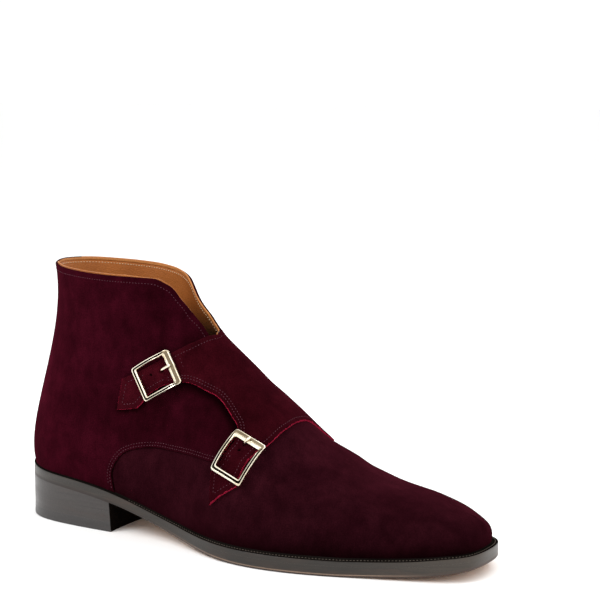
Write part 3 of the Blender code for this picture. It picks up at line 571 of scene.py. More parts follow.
def relief(p, q):
    """Height that the folds and the leather's own unevenness add, in mm."""
    base = UPPER.at(p, q)
    along = np.clip(p, RIDGE_SHIFT[0, 0], RIDGE_SHIFT[-1, 0])
    middle, height = cubic(RIDGE_SHIFT[:, 0], RIDGE_SHIFT[:, 1:], along).T
    rise = height * np.exp(-((q - middle) / RIDGE_REACH) ** 2)
    swell_p, swell_q, reach_p, reach_q, height = SWELL
    rise += height * np.exp(-((p - swell_p) / reach_p) ** 2 - ((q - swell_q) / reach_q) ** 2)
    for line, at, width, depth in FOLD_PATHS:
        near = np.linalg.norm(base - line[30], axis=1) < 90
        if not near.any():
            continue
        gap = np.linalg.norm(base[near][:, None] - line[None], axis=2)
        first = gap.argmin(axis=1)
        d = gap.min(axis=1) / width
        taper = np.sin(np.pi * np.clip(at[first], 0.02, 0.98)) ** 0.8
        shape = np.exp(-d**2) - 0.35 * np.exp(-((d - 1.9) / 0.9) ** 2)
        rise[near] -= depth * taper * shape
    x, y, z = base.T
    slow = np.sin(x / 17 + 1.3) * np.sin(z / 13 + y / 19) + np.sin(x / 9.1 - z / 11.3 + y / 8) * 0.5
    return rise + UNEVENNESS * slow


# ---- meshes --------------------------------------------------------------
def add_piece(name, points, faces, materials, groups=None, replaces=(), angle=0.7, shade=None):
    """One piece of the boot from points in millimetres; groups gives each
    face its material, shade each point its painted light and shade. Faces are turned
    to look out."""
    mesh = bpy.data.meshes.new(name)
    moved = (np.asarray(points, float) - (MIDDLE_X, MIDDLE_Y, 0)) * 0.001
    mesh.from_pydata(moved.tolist(), [], faces)
    for made in materials:
        mesh.materials.append(made)
    if groups is not None:
        mesh.polygons.foreach_set("material_index", np.asarray(groups, np.int32))
    work = bmesh.new()
    work.from_mesh(mesh)
    bmesh.ops.recalc_face_normals(work, faces=work.faces)
    work.to_mesh(mesh)
    work.free()
    if shade is not None:
        layer = mesh.attributes.new("shade", "FLOAT", "POINT")
        layer.data.foreach_set("value", np.asarray(shade, float))
    mesh.polygons.foreach_set("use_smooth", [True] * len(mesh.polygons))
    mesh.set_sharp_from_angle(angle=angle)
    piece = bpy.data.objects.new(name, mesh)
    BOOT.objects.link(piece)
    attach(piece, "root")
    if replaces:
        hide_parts(*replaces)
    return piece


def steps_by_metre(p, q):
    """How the surface point moves with p and with q."""
    here = UPPER.at(p, q)
    by_p = (UPPER.at(p + 1e-3, q) - here) / 1e-3
    step = np.where(np.abs(q) > 0.99, -1e-3, 1e-3) * np.where(q > 0, 1, -1)
    by_q = (UPPER.at(p, q + step) - here) / step[:, None]
    return by_p, by_q


def moved_on_surface(places, shift):
    """The places reached from each place by a short move in space."""
    p, q = places.T
    by_p, by_q = steps_by_metre(p, q)
    pp, qq, pq = (by_p**2).sum(1), (by_q**2).sum(1), (by_p * by_q).sum(1)
    sp, sq = (by_p * shift).sum(1), (by_q * shift).sum(1)
    det = pp * qq - pq * pq
    return places + np.stack([(sp * qq - sq * pq) / det, (sq * pp - sp * pq) / det], 1)


def sampled(knots, step):
    """Places every step millimetres or so on a smooth line through knots, the
    last one left out."""
    side = np.sign(knots[0][1])
    knots = np.asarray(knots, float)
    if len(knots) == 2:
        knots = knots[0] + (knots[1] - knots[0]) * np.linspace(0, 1, 9)[:, None]
    spots = UPPER.at(knots[:, 0], knots[:, 1])
    t = np.r_[0, np.cumsum(np.linalg.norm(np.diff(spots, axis=0), axis=1))]
    fine_t = np.linspace(0, t[-1], 16 * len(knots))
    fine = cubic(t, knots, fine_t)
    beside = (fine[:, 0] < OPEN_TO) & (np.abs(fine[:, 1]) < 0.02)
    fine[beside, 1] = side * np.maximum(side * fine[beside, 1], 1e-6)
    spots = UPPER.at(fine[:, 0], fine[:, 1])
    s = np.r_[0, np.cumsum(np.linalg.norm(np.diff(spots, axis=0), axis=1))]
    count = max(2, int(round(s[-1] / step)))
    at = np.interp(np.linspace(0, s[-1], count + 1)[:-1], s, fine_t)
    made = cubic(t, knots, at)
    # along the topline the line stays on its own side
    beside = (made[:, 0] < OPEN_TO) & (np.abs(made[:, 1]) < 0.02)
    made[beside, 1] = side * np.maximum(side * made[beside, 1], 1e-6)
    return made


def nearest(points, others, chunk=1500):
    """Distance from each point to the nearest of the others, and which it is."""
    least = np.empty(len(points))
    which = np.empty(len(points), int)
    for first in range(0, len(points), chunk):
        gap = np.linalg.norm(points[first:first + chunk, None] - others[None], axis=2)
        which[first:first + chunk] = gap.argmin(axis=1)
        least[first:first + chunk] = gap.min(axis=1)
    return least, which


class Panel:
    """A sheet of leather laid on the upper. Its edge is a ring of runs; each
    run is (kind of edge, knots)."""

    def __init__(self, runs, top, bottom, rounding, wobble=0.0, holes=(), rows=()):
        self.top, self.bottom, self.rounding = top, bottom, rounding
        edge, kinds = [], []
        for kind, knots in runs:
            run = sampled(knots, EDGE_STEP)
            edge.append(run)
            kinds += list(kind(run)) if callable(kind) else [kind] * len(run)
        self.edge = np.concatenate(edge)
        self.kinds = np.array(kinds)
        self.inward = self.inward_of(self.edge)
        cut = np.isin(self.kinds, CRIMSON_KINDS)
        shake = np.arange(len(self.edge))
        shake = np.sin(shake * 1.7) + np.sin(shake * 0.61 + 2) + 0.6 * np.sin(shake * 2.9 + 1)
        amount = (wobble * shake * cut)[:, None]
        self.edge = moved_on_surface(self.edge, self.inward * amount)
        self.holes = list(holes)
        loops = [self.edge] + self.holes
        self.ring = np.concatenate(loops)
        self.ring_points = UPPER.at(*self.ring.T)
        self.ring_kinds = np.r_[self.kinds, ["hole"] * sum(map(len, self.holes))]
        self.rows = rows

    def inward_of(self, loop):
        points = UPPER.at(*loop.T)
        run = np.roll(points, -1, axis=0) - np.roll(points, 1, axis=0)
        side = np.cross(UPPER.normal(*loop.T), run)
        side = side / np.linalg.norm(side, axis=1)[:, None]
        flat = loop * CHART_SCALE
        after = np.roll(flat, -1, axis=0)
        turn = (flat[:, 0] * after[:, 1] - flat[:, 1] * after[:, 0]).sum()
        return side * np.sign(turn)

    def inset(self, distance, kinds=None):
        """Places at a distance inside the edge; those too near another part
        of the edge are dropped. Gives the places and their number on the edge."""
        moved = moved_on_surface(self.edge, self.inward * distance)
        gap, _ = nearest(UPPER.at(*moved.T), self.ring_points)
        flat = self.edge * CHART_SCALE
        keep = (gap > 0.94 * distance - 0.05) & inside_polygon(moved * CHART_SCALE, flat)
        if kinds:
            keep &= np.isin(self.kinds, kinds)
        index = np.flatnonzero(keep)
        return moved[index], index

    def height(self, p, q, gap, kinds):
        """Top of the sheet; gap is the distance from its nearest edge, which
        is of one of the kinds."""
        r = self.rounding
        short = np.clip(1 - gap / r, 0, 1)
        found = self.top(p, q) - r * (1 - np.sqrt(1 - short**2))
        for distance, depth, along in self.rows:
            groove = depth * np.exp(-((gap - distance) / 0.7) ** 2)
            found = found - np.where(np.isin(kinds, along), groove, 0)
        return found

    def mesh(self, spacing):
        """Points, faces and materials of the sheet: 0 its face, 1 a raw edge,
        2 a seam's edge, dark with painted shade."""
        scale = CHART_SCALE
        flat = self.edge * scale
        low, high = flat.min(axis=0), flat.max(axis=0)
        grid = []
        for row, y in enumerate(np.arange(low[1], high[1], spacing * 0.866)):
            xs = np.arange(low[0] + (row % 2) * spacing / 2, high[0], spacing)
            grid.append(np.c_[xs, np.full(len(xs), y)])
        grid = np.concatenate(grid)
        grid = grid[inside_polygon(grid, flat)]
        for hole in self.holes:
            grid = grid[~inside_polygon(grid, hole * scale)]
        insets = []
        for distance in (0.2 * self.rounding, 0.6 * self.rounding, 1.2 * self.rounding):
            insets.append(self.inset(distance)[0])
            for hole in self.holes:
                centre = hole.mean(axis=0)
                reach = np.linalg.norm(UPPER.at(*hole.T) - UPPER.at(*centre[None].T), axis=1).mean()
                insets.append(centre + (hole - centre) * (1 + distance / reach))
        for distance, _, along in self.rows:
            for step in (-0.75, 0, 0.75):
                insets.append(self.inset(distance + step, along)[0])
        insets = np.concatenate(insets)
        # rows that cross another row too closely are thinned
        spots = UPPER.at(*insets.T)
        keep = np.ones(len(insets), bool)
        cell = {}
        for k, key in enumerate(map(tuple, np.floor(spots / 0.35).astype(int))):
            keep[k] = key not in cell
            cell[key] = k
        insets = insets[keep]
        gap, _ = nearest(grid, insets * scale)
        grid = grid[gap > 0.62 * spacing]
        gap, _ = nearest(UPPER.at(*(grid / scale).T), self.ring_points)
        grid = grid[gap > 0.6 * spacing]
        every = np.concatenate([self.ring * scale, insets * scale, grid])
        edges = []
        start = 0
        for loop in [self.edge] + self.holes:
            n = len(loop)
            edges += [(start + k, start + (k + 1) % n) for k in range(n)]
            start += n
        found = delaunay_2d_cdt([Vector(v) for v in every], edges, [], 0, 1e-6)
        verts = np.array([tuple(v) for v in found[0]])
        faces = np.array([tuple(f) for f in found[2]])
        middle = verts[faces].mean(axis=1)
        keep = inside_polygon(middle, flat)
        for hole in self.holes:
            keep &= ~inside_polygon(middle, hole * scale)
        faces = faces[keep]
        used = np.unique(faces)
        renumber = np.full(len(verts), -1)
        renumber[used] = np.arange(len(used))
        faces = renumber[faces]
        self.places = verts[used] / scale
        p, q = self.places.T
        base = UPPER.at(p, q)
        gap, which = nearest(base, self.ring_points)
        gap[gap < 0.02] = 0
        bump = relief(p, q)
        normal = UPPER.normal(p, q)
        top = self.height(p, q, gap, self.ring_kinds[which])
        high = base + normal * (top + bump)[:, None]
        low = base + normal * (self.bottom(p, q) + bump)[:, None]
        n = len(p)
        sides = {}
        for f in faces.tolist():
            for k in range(3):
                sides[(f[k], f[(k + 1) % 3])] = 1
        rim = [(i, j) for i, j in sides if (j, i) not in sides]
        look = np.where(np.isin(self.ring_kinds[which], CRIMSON_KINDS) & (gap < 0.8 * self.rounding), 1, 0)
        # A seam's edge takes painted shade, dark as the shadow in the step over the vamp.
        look[(self.ring_kinds[which] == "seam") & (gap < 1.3 * self.rounding)] = 2
        solid = [tuple(f) for f in (faces + n).tolist()]
        groups = look[faces].min(axis=1).tolist()
        solid += [tuple(reversed(f)) for f in faces.tolist()]
        groups += [0] * len(faces)
        for i, j in rim:
            solid.append((i, j, j + n, i + n))
            groups.append(int(min(look[i], look[j])))
        return np.concatenate([low, high]), solid, groups


# ---- stitches ------------------------------------------------------------
def chains(places, index, total):
    """Splits inset places into unbroken lines."""
    lines = []
    start = 0
    for k in range(1, len(index) + 1):
        if k == len(index) or index[k] - index[k - 1] > 3:
            if k - start > 3:
                lines.append(places[start:k])
            start = k
    if len(lines) > 1 and index[0] <= 2 and index[-1] >= total - 3:
        lines[0] = np.concatenate([lines.pop(), lines[0]])
    return lines


# Sections of one stitch: place along, thickness, height over the leather
BEAD = ((-1, 0.45, -0.9), (-0.62, 0.9, 0.1), (0, 1, 0.45), (0.62, 0.9, 0.1), (1, 0.45, -0.9))


def bead(centre, along, out, length, radius):
    """One stitch: a short thread that dips into the leather at both ends."""
    side = np.cross(along, out)
    points = []
    for t, size, lift in BEAD:
        for k in range(6):
            angle = k * math.pi / 3
            ring = side * math.cos(angle) + out * math.sin(angle)
            points.append(centre + along * (t * length / 2) + out * lift * radius + ring * radius * size)
    return points


def bead_faces(first):
    faces = [tuple(first + k for k in range(6)), tuple(first + 24 + k for k in range(5, -1, -1))]
    for r in range(4):
        for k in range(6):
            j = (k + 1) % 6
            a, b = first + r * 6, first + (r + 1) * 6
            faces.append((a + k, b + k, b + j, a + j))
    return faces


def between(at, s, rows):
    """The row at a length s along rows, in between two of them."""
    return np.array([np.interp(at, s, column) for column in rows.T])


class Stitches:
    """Many stitches in one mesh."""

    def __init__(self):
        self.points, self.faces = [], []

    def line(self, spots, outs, pitch, length, radius, sink=0.0):
        """Stitches along a line of points in space."""
        step = np.linalg.norm(np.diff(spots, axis=0), axis=1)
        s = np.r_[0, np.cumsum(step)]
        count = int(s[-1] // pitch)
        if count < 1:
            return
        pitch = s[-1] / count
        for k in range(count):
            at = (k + 0.5) * pitch
            ends = [between(v, s, spots) for v in (at - pitch / 3, at, at + pitch / 3)]
            out = between(at, s, outs)
            along = ends[2] - ends[0]
            along = along / np.linalg.norm(along)
            out = out - along * out.dot(along)
            out = out / np.linalg.norm(out)
            first = len(self.points)
            self.points += bead(ends[1] - out * sink, along, out, length, radius)
            self.faces += bead_faces(first)

    def on(self, places, height, pitch, length, radius, sink=0.0):
        """Stitches along places on the upper, at a height above it."""
        if len(places) < 4:
            return
        places = eased(places)
        p, q = places.T
        normal = UPPER.normal(p, q)
        spots = UPPER.at(p, q) + normal * (height(p, q) + relief(p, q))[:, None]
        self.line(spots, normal, pitch, length, radius, sink)


def eased(places, rounds=3):
    """A line of places with its small kinks smoothed."""
    for _ in range(rounds):
        places = np.concatenate([places[:1], (places[:-2] + 2 * places[1:-1] + places[2:]) / 4, places[-1:]])
    return places


# ---- tables of the visible layers ----------------------------------------
EDGE_STEP = 1.15  # between the points of a panel's edge
PANEL_ROUNDING = 0.5
COLLAR_TO = 0.5  # how far along the quarters follow the V opening
UNEVENNESS = 0.12
QUARTER_TOP = 0.35
QUARTER_BOTTOM = -0.4
VAMP_TOP = -0.45
VAMP_BOTTOM = -1.05
LINING_TOP = -1.1
LINING_BOTTOM = -2.0
FLAP_TOP = 2.15
FLAP_BOTTOM = 0.42
TOP_DROP = 1.2
BOTTOM_DROP = 0.8
LINING_BEYOND = 0.0070
BAND_HEIGHT = 2.3
# rows of points below an edge, as shares of the section: the vamp's, the lining's
EDGE_ROWS = (0.016, 0.011, 0.0075, 0.0045, 0.002, 0)
BAND_ROWS = (0.040, 0.030, 0.024, 0.0205, 0.018, 0.0155, 0.012, 0.008, 0.0045, 0.002, 0)
FAR = 9.0  # stands for any distance that no rounding or groove reaches
BACK_RIM_TO = 0.06

# How the ridge stands off the model's surface: place along it, its middle
# across, height
# The places across, in the second column, were computed and copied in.
RIDGE_SHIFT = np.array([
    (0.38, 0, 0), (0.44, 0, 0.8), (0.50, 0.01, 2.2), (0.53, 0.05, 2.4),
    (0.56, 0.09, 1.6), (0.58, 0.11, 0.7), (0.60, 0.13, -0.6), (0.62, 0.15, -1.0),
    (0.64, 0.17, -1.3), (0.66, 0.20, -1.6), (0.675, 0.23, -2.2), (0.69, 0.26, -2.9),
    (0.705, 0.28, -2.3), (0.72, 0.32, -1.3), (0.745, 0.37, -0.5), (0.77, 0.42, 0.1),
    (0.79, 0.45, 0.5), (0.81, 0.47, 1.0), (0.84, 0.49, 1.5), (0.86, 0.5, 1.1),
    (0.88, 0.5, 0.3), (0.92, 0.5, -0.5), (0.955, 0.5, -1.0), (0.98, 0.5, -0.6), (1.0, 0.5, 0),
])
RIDGE_REACH = 0.32
# Swell beside the V opening: place, its two reaches, height
SWELL = (0.45, 0.12, 0.05, 0.15, 4.0)

# Soft folds: side, points of the line, half-width, depth (less than 0: a ridge)
FOLDS = [
    ("side", [(203.0, 61.0), (201.0, 50.0), (203.0, 38.0), (208.0, 27.0)], 5.0, 0.35),
    ("side", [(216.0, 57.0), (213.5, 47.0), (214.5, 36.0), (219.0, 24.0)], 4.5, 0.4),
    ("side", [(228.0, 51.0), (225.0, 42.0), (225.5, 32.0), (230.0, 21.0)], 5.0, 0.3),
    ("inner", [(205.0, 60.0), (202.0, 49.0), (203.0, 37.0), (207.0, 26.0)], 5.0, 0.35),
    ("inner", [(219.0, 55.0), (216.0, 45.0), (216.0, 34.0), (220.0, 23.0)], 4.5, 0.4),
]

# The curved seam of both quarters over the vamp: a scratch script measured it
# in the photo on the outer side. The outer quarter's front is hidden under the
# flap.
SEAM_CURVE = [(84.6, 47.7), (79.0, 41.3), (76.4, 34.2), (77.4, 27.1)]
SEAM_FOOT_X = 77.6
HIDDEN_EDGE = [(139.0, 104.0), (152.0, 91.0), (165.0, 79.0), (171.0, 69.0), (167.5, 60.0)]
OUTER_SEAM = [("side", HIDDEN_EDGE + [
    (160.0, 53.4), (151.4, 52.3), (138.1, 53.2), (120.5, 53.4), (106.4, 53.5), (94.6, 51.7),
] + SEAM_CURVE)]
INNER_SEAM = [("inner", [
    (168.0, 50.5), (158.0, 51.8), (148.0, 52.8), (136.0, 53.3), (120.5, 53.4), (106.4, 53.3),
    (94.6, 51.6),
] + SEAM_CURVE)]


# Rows of stitches: distance from the edge, depth of their groove, kinds of edge
OUTER_ROWS = ((3.1, 0.1, ("collar",)), (1.7, 0.1, ("seam",)), (3.4, 0.1, ("seam",)))
INNER_ROWS = (
    (3.1, 0.12, ("collar", "top", "cut")), (2.2, 0.1, ("double",)), (3.8, 0.1, ("double",)),
    (2.7, 0.1, ("front",)), (1.7, 0.1, ("seam",)), (3.4, 0.1, ("seam",)),
)
CRIMSON_KINDS = ("cut", "double", "front")


# ---- panels --------------------------------------------------------------
def strap_rise(p, q):
    """The straps rise over the buckles' axles."""
    base = UPPER.at(p, q)
    rise = np.zeros(len(base))
    for spot in SPOTS.values():
        a, b, h = spot.lengths(base)
        near = (np.abs(b) < 14) & (np.abs(a) < 14) & (np.abs(h) < 14)
        rise += np.where(near, STRAP_RISE * np.exp(-(a / STRAP_RISE_REACH) ** 4), 0)
    return rise


def pressed(p, q, top):
    """How deep the buckles' bars press into the straps."""
    base = UPPER.at(p, q)
    found = np.zeros(len(base))
    length, width = FRAME_LENGTH / 2, FRAME_WIDTH / 2
    for spot in SPOTS.values():
        a, b, h = spot.lengths(base)
        inside = -np.maximum(np.abs(a) - length, np.abs(b) - width)
        window = np.maximum(a - length + NEAR_BAR, FAR_BAR - length - a)
        window = np.maximum(window, np.abs(b) - width + SIDE_BAR)
        under = smooth_step(inside, -1.4, 0) * smooth_step(window, -1.4, 0) * (np.abs(h) < 14)
        over = h + top + FRAME_DEPTH + bow(a) + 0.08
        found += under * np.clip(over, 0, MOST_PRESS)
    return found


def flap_share(p, q):
    """1 on the flap and its straps, 0 on the inner side of the shaft."""
    begun = smooth_step(p, 0.46, 0.56)
    inner = (1 - smooth_step(q, 0.06, 0.7)) * begun
    return np.where(q < 0, 1 - (1 - begun) * smooth_step(q, -0.10, 0), inner)


def front_drop(p, q):
    """The flap lies closer to the vamp where its front crosses the ridge."""
    return smooth_step(p, 0.60, 0.675) * np.exp(-((q - 0.12) / 0.32) ** 4)


def inner_top(p, q):
    rise = QUARTER_TOP + (FLAP_TOP - QUARTER_TOP) * flap_share(p, q) + strap_rise(p, q)
    rise = rise - TOP_DROP * front_drop(p, q)
    return rise - pressed(p, q, rise)


def inner_bottom(p, q):
    rise = QUARTER_BOTTOM + (FLAP_BOTTOM - QUARTER_BOTTOM) * flap_share(p, q) + strap_rise(p, q)
    return rise - BOTTOM_DROP * front_drop(p, q)


def level(height):
    return lambda p, q: np.full(len(p), float(height))


def collar_knots(side, last, beyond=0.0):
    """The topline and the edge of the V opening on one side, back to front."""
    p = np.r_[np.arange(0, 0.24, 0.03), np.arange(0.24, last + 1e-6, 0.01)]
    kept = kept_share(p if side < 0 else 2 - p, beyond)
    return np.c_[p, side * np.maximum(1 - kept, 1e-6)]


def foot_knots(side, x):
    """The sole's edge of the upper from x back to the heel."""
    p = np.linspace(0, 0.6, 121)
    reached = UPPER.at(p, np.full(len(p), float(side)))[:, 0]
    start = np.interp(x, reached, p)
    return np.c_[np.linspace(start, 1e-4, 14), np.full(14, float(side))]


def back_knots(side):
    q = np.linspace(1, 0.001, 12)
    return np.c_[np.full(12, 1e-4), side * q]


def outer_quarter_panel():
    collar = collar_knots(-1, COLLAR_TO)
    foot = foot_knots(-1, SEAM_FOOT_X)
    front = np.concatenate([collar[-1:], places(OUTER_SEAM), foot[:1]])
    runs = [("collar", collar), ("seam", front), ("foot", foot), ("back", back_knots(-1))]
    return Panel(runs, level(QUARTER_TOP), level(QUARTER_BOTTOM), PANEL_ROUNDING, rows=OUTER_ROWS)


def first_kinds(line):
    """The inner collar runs on as the top edge of the flap."""
    return np.where(line[:, 1] > 0, "collar", "top")


def scallop_kinds(line):
    """The edge between the straps has two rows of stitches."""
    x, _, z = UPPER.at(*line.T).T
    return np.where((x > 113.0) & (z > 55.0), "double", "cut")


def inner_quarter_panel():
    foot = foot_knots(1, SEAM_FOOT_X)
    upper, lower = [places([("side", STRAP_ENDS[name])]) for name in ("upper", "lower")]
    runs = [
        (first_kinds, np.concatenate([collar_knots(1, COLLAR_TO), places(FLAP_TOP_EDGE)])),
        ("cut", upper[:2]), ("cut", upper[1:]), (scallop_kinds, places(SCALLOP)),
        ("cut", lower[:2]), ("cut", lower[1:]), ("front", places(FLAP_FRONT)),
        ("seam", np.concatenate([places(INNER_SEAM), foot[:1]])),
        ("foot", foot), ("back", back_knots(1)),
    ]
    holes = []
    angle = np.arange(16) * np.pi / 8
    for name, spot in SPOTS.items():
        for a, b, long, wide in STRAP_HOLES[name]:
            holes.append(spot.on_chart(a + long * np.cos(angle), b + wide * np.sin(angle)))
    return Panel(runs, inner_top, inner_bottom, PANEL_ROUNDING, wobble=0.05, holes=holes, rows=INNER_ROWS)


def foot_painted_shade(points):
    """Painted shade: darker towards the sole, most of all along the ball of the foot."""
    x, _, z = points.T
    lift = z - sole_heights(x)[1]
    dark = 1 - np.interp(lift, (0, 4, 10, 28, 50), (0.20, 0.30, 0.50, 0.75, 1.0))
    return 1 - dark * np.interp(x, (0, 60, 110, 150, 200), (0.35, 0.35, 0.45, 0.7, 1.0))


def outer_shade(points, flap):
    """The outer quarter: lighter at the back and low down, partly painted light and partly the nap's own
    tone; painted shadow along the flap.
    """
    x, _, z = points.T
    shade = foot_painted_shade(points) * np.interp(x, (0, 20, 45, 70, 105), (1.45, 1.4, 1.1, 0.95, 0.72))
    shade = shade * (1 + 0.35 * smooth_step(-z, -75, -35) * smooth_step(x, 20, 60))
    edge = UPPER.at(*flap.edge.T)
    wide = flap.kinds == "double"
    narrow = (flap.kinds == "cut") & (edge[:, 2] < np.interp(edge[:, 0], (80, 95, 115), (76, 90, 99)))
    # Painted shadow under the scallop and under the lower edge of the upper strap's tail.
    for shading, deep, reach in ((wide, 0.85, 3.2), (narrow, 0.6, 1.1)):
        gap, _ = nearest(points, edge[shading])
        shade = shade * (1 - deep * np.exp(-(np.maximum(gap - 1.2, 0) / reach) ** 2))
    return shade


def flap_shade(points):
    """The flap: its upper strap lighter, its lower half darker, with painted light inside each buckle's
    frame.
    """
    x, y, _ = points.T
    along = np.interp(x, (85, 110, 128, 145, 170, 200), (1.4, 1.25, 1.2, 0.9, 0.78, 1.0))
    shade = foot_painted_shade(points) * np.where(y < 8, along, 1)
    # Painted light on the strap inside each buckle's frame.
    for spot in SPOTS.values():
        a, b, h = spot.lengths(points)
        shade = shade * (1 + 0.4 * np.exp(-(a / 9) ** 4 - (b / 8) ** 4) * (np.abs(h) < 14))
    return shade


def throat_painted_shade(points):
    """Painted shade: the lining, darker down in the boot."""
    return np.interp(points[:, 2], (0, 100, 117, 125, 135), (0.10, 0.10, 0.13, 0.5, 1.0))


def wrinkle(points):
    """Soft upright and slanting folds of the lining."""
    x, y, z = points.T
    upright = np.sin(y / 3.1 + z / 9 + 1.5 * np.sin(z / 14)) * np.exp(-((x - 12) / 22) ** 2)
    return upright + 0.5 * np.sin(x / 6.5 - z / 8)


def shell(name, top, bottom, round_top, round_bottom, materials, replaces,
          shade, beyond=0.0, near_top=EDGE_ROWS, columns=300):
    """A layer of the whole upper, open at the collar and at the sole."""
    half = np.linspace(0, 1, columns // 2 + 1)
    u = np.r_[half, 2 - half[-2:0:-1]]
    share = np.r_[np.linspace(0, 1 - 1.3 * near_top[0], 60), 1 - np.array(near_top)]
    kept = kept_share(u, beyond)
    n, m = len(u), len(share)
    v = kept[:, None] * share
    p = np.where(u <= 1, u, 2 - u)[:, None] + 0 * v
    side = np.where(u <= 1, -1.0, 1.0)[:, None]
    q = side * np.maximum(1 - v, 1e-6)
    p, q = p.ravel(), q.ravel()
    # the last point of a column in front of the opening is shared with its mirror
    number = np.arange(n * m).reshape(n, m)
    for k in range(n // 2 + 1, n):
        if kept[k] >= 1 - 1e-9 and kept[n - k] >= 1 - 1e-9 and p[number[k, 0]] > 0.5:
            number[k, -1] = number[n - k, -1]
    fine = np.concatenate([UPPER.at(*sampled(collar_knots(s, 0.54, beyond), 0.5).T) for s in (-1, 1)])
    base = UPPER.at(p, q)
    gap = np.full(len(p), FAR)
    near = (np.abs(q) < 0.3) & (p < 0.58)
    gap[near], _ = nearest(base[near], fine)
    bump = relief(p, q)
    normal = UPPER.normal(p, q)

    def eased_edge(r):
        short = np.clip(1 - gap / max(r, 1e-6), 0, 1)
        return r * (1 - np.sqrt(1 - short**2))

    high = base + normal * (top - eased_edge(round_top) + bump)[:, None]
    inner = bottom + eased_edge(round_bottom)
    if beyond:
        inner = inner + 0.5 * np.exp(-((gap - BAND_HEIGHT) / 0.28) ** 2)
        inner = inner + 0.35 * wrinkle(base) * smooth_step(gap, 1.5, 12)
    low = base + normal * (inner + bump)[:, None]
    faces = []
    for i in range(n):
        j = (i + 1) % n
        for k in range(m - 1):
            face = [number[i, k], number[j, k], number[j, k + 1], number[i, k + 1]]
            face = [f for at, f in enumerate(face) if f != face[at - 1]]
            if len(face) > 2:
                faces.append(tuple(int(f) for f in face))
    sides = {}
    for f in faces:
        for k in range(len(f)):
            sides[(f[k], f[(k + 1) % len(f)])] = 1
    total = n * m
    solid = [tuple(k + total for k in f) for f in faces]
    solid += [tuple(reversed(f)) for f in faces]
    groups = [0] * len(faces)
    for f in faces:
        at = list(f)
        rim = beyond and gap[at].max() < 0.9 and p[at].max() < BACK_RIM_TO
        groups.append(2 if rim else int(gap[at].max() < BAND_HEIGHT))
    for i, j in sides:
        if (j, i) not in sides:
            solid.append((i, j, j + total, i + total))
            groups.append(2 if beyond and p[i] < BACK_RIM_TO else 1)
    points = np.concatenate([low, high])
    used = np.unique(np.concatenate([np.array(f) for f in solid]))
    renumber = np.full(len(points), -1)
    renumber[used] = np.arange(len(used))
    solid = [tuple(int(renumber[k]) for k in f) for f in solid]
    points = points[used]
    return add_piece(name, points, solid, materials, groups, replaces, shade=shade(points))


# ---- sole and heel -------------------------------------------------------
def edge_ring(which, share, inset, rise, half=150, chamfer=False):
    """A ring round the sole: moved in by a share of the ledge outside the
    upper, and by an inset. A chamfer ends at the heel."""
    points, out = outline_at(even_places(half))
    if chamfer and inset < 1:
        inset = inset * smooth_step(points[:, 0], HEEL_BREAST_X - 3, HEEL_BREAST_X + 3)
    points = points - out * (ledge_at(points) * share + inset)[:, None]
    low, high = sole_heights(points[:, 0])
    return np.c_[points, (low if which == "low" else high) + rise]


def stacked(name, rings, caps, materials, groups, replaces, angle=0.7, second_from=None):
    """A closed piece from rings, bottom to top, with its two caps. From a
    place of each ring on, its faces take the second material."""
    count = len(rings[0])
    faces = ring_faces(len(rings), count)
    kinds = []
    for r in range(len(rings) - 1):
        kinds += [groups[r] if second_from is None or i < second_from else 1 for i in range(count)]
    for first, kind in ((0, groups[-2]), ((len(rings) - 1) * count, groups[-1])):
        cap = caps(first, count)
        faces += cap
        kinds += [kind] * len(cap)
    return add_piece(name, np.concatenate(rings), faces, materials, kinds, replaces, angle)


def build_sole():
    names = ("sole_edge", "sole_bottom", "sole_edge_low", "sole_foot", "sole_line")
    looks = [MATERIALS[name] for name in names]
    rings = [edge_ring("low", 0, inset, rise, chamfer=True) for inset, rise in (
        (3.2, 0.25), (2.6, 0), (0.9, 0), (0.45, 0.12), (0.1, 0.7), (0.0, 1.05), (0, 1.7), (0, 2.3))]
    lift = WELT_THICKNESS
    rings += [edge_ring("high", 0, inset, -lift + rise) for inset, rise in (
        (0, -0.6), (0, 0), (0.9, 0))]
    stacked("outsole_leather", rings, strip_cap, looks, [1, 1, 3, 3, 3, 4, 2, 0, 0, 0, 1, 0],
            ["outsole"])
    rings = [edge_ring("high", 0, inset, -lift + rise) for inset, rise in (
        (0.9, 0.01), (0, 0.01), (0, 1.3), (0, lift - 0.8), (0.1, lift - 0.35), (0.45, lift - 0.08))]
    rings += [edge_ring("high", share, 0, rise) for share, rise in (
        (0.24, 0), (0.4, -0.01), (0.46, -0.26), (0.56, -0.26), (0.62, -0.01), (0.86, 0.03), (0.98, 0.2))]
    rings += [edge_ring("high", 1.0, inset, rise) for inset, rise in ((0.35, 0.5), (1.2, 0.6), (3.0, 0.5))]
    stacked("welt_strip", rings, strip_cap, [MATERIALS["sole_edge"], MATERIALS["welt_top"]],
            [0] * 4 + [1] * 13, ["welt"])


def heel_cap(first, count, half=40, across=16):
    faces = [(first + half - 1, first + half, first + half + 1)]
    for k in range(1, half - 1):
        faces.append((first + half - k, first + half + k, first + half + k + 1, first + half - k - 1))
    last = [first + 1, first + 2 * half - 1, first + 2 * half]
    last += [first + 2 * half + 1 + k for k in range(across)]
    faces.append(tuple(last + [first]))
    return faces


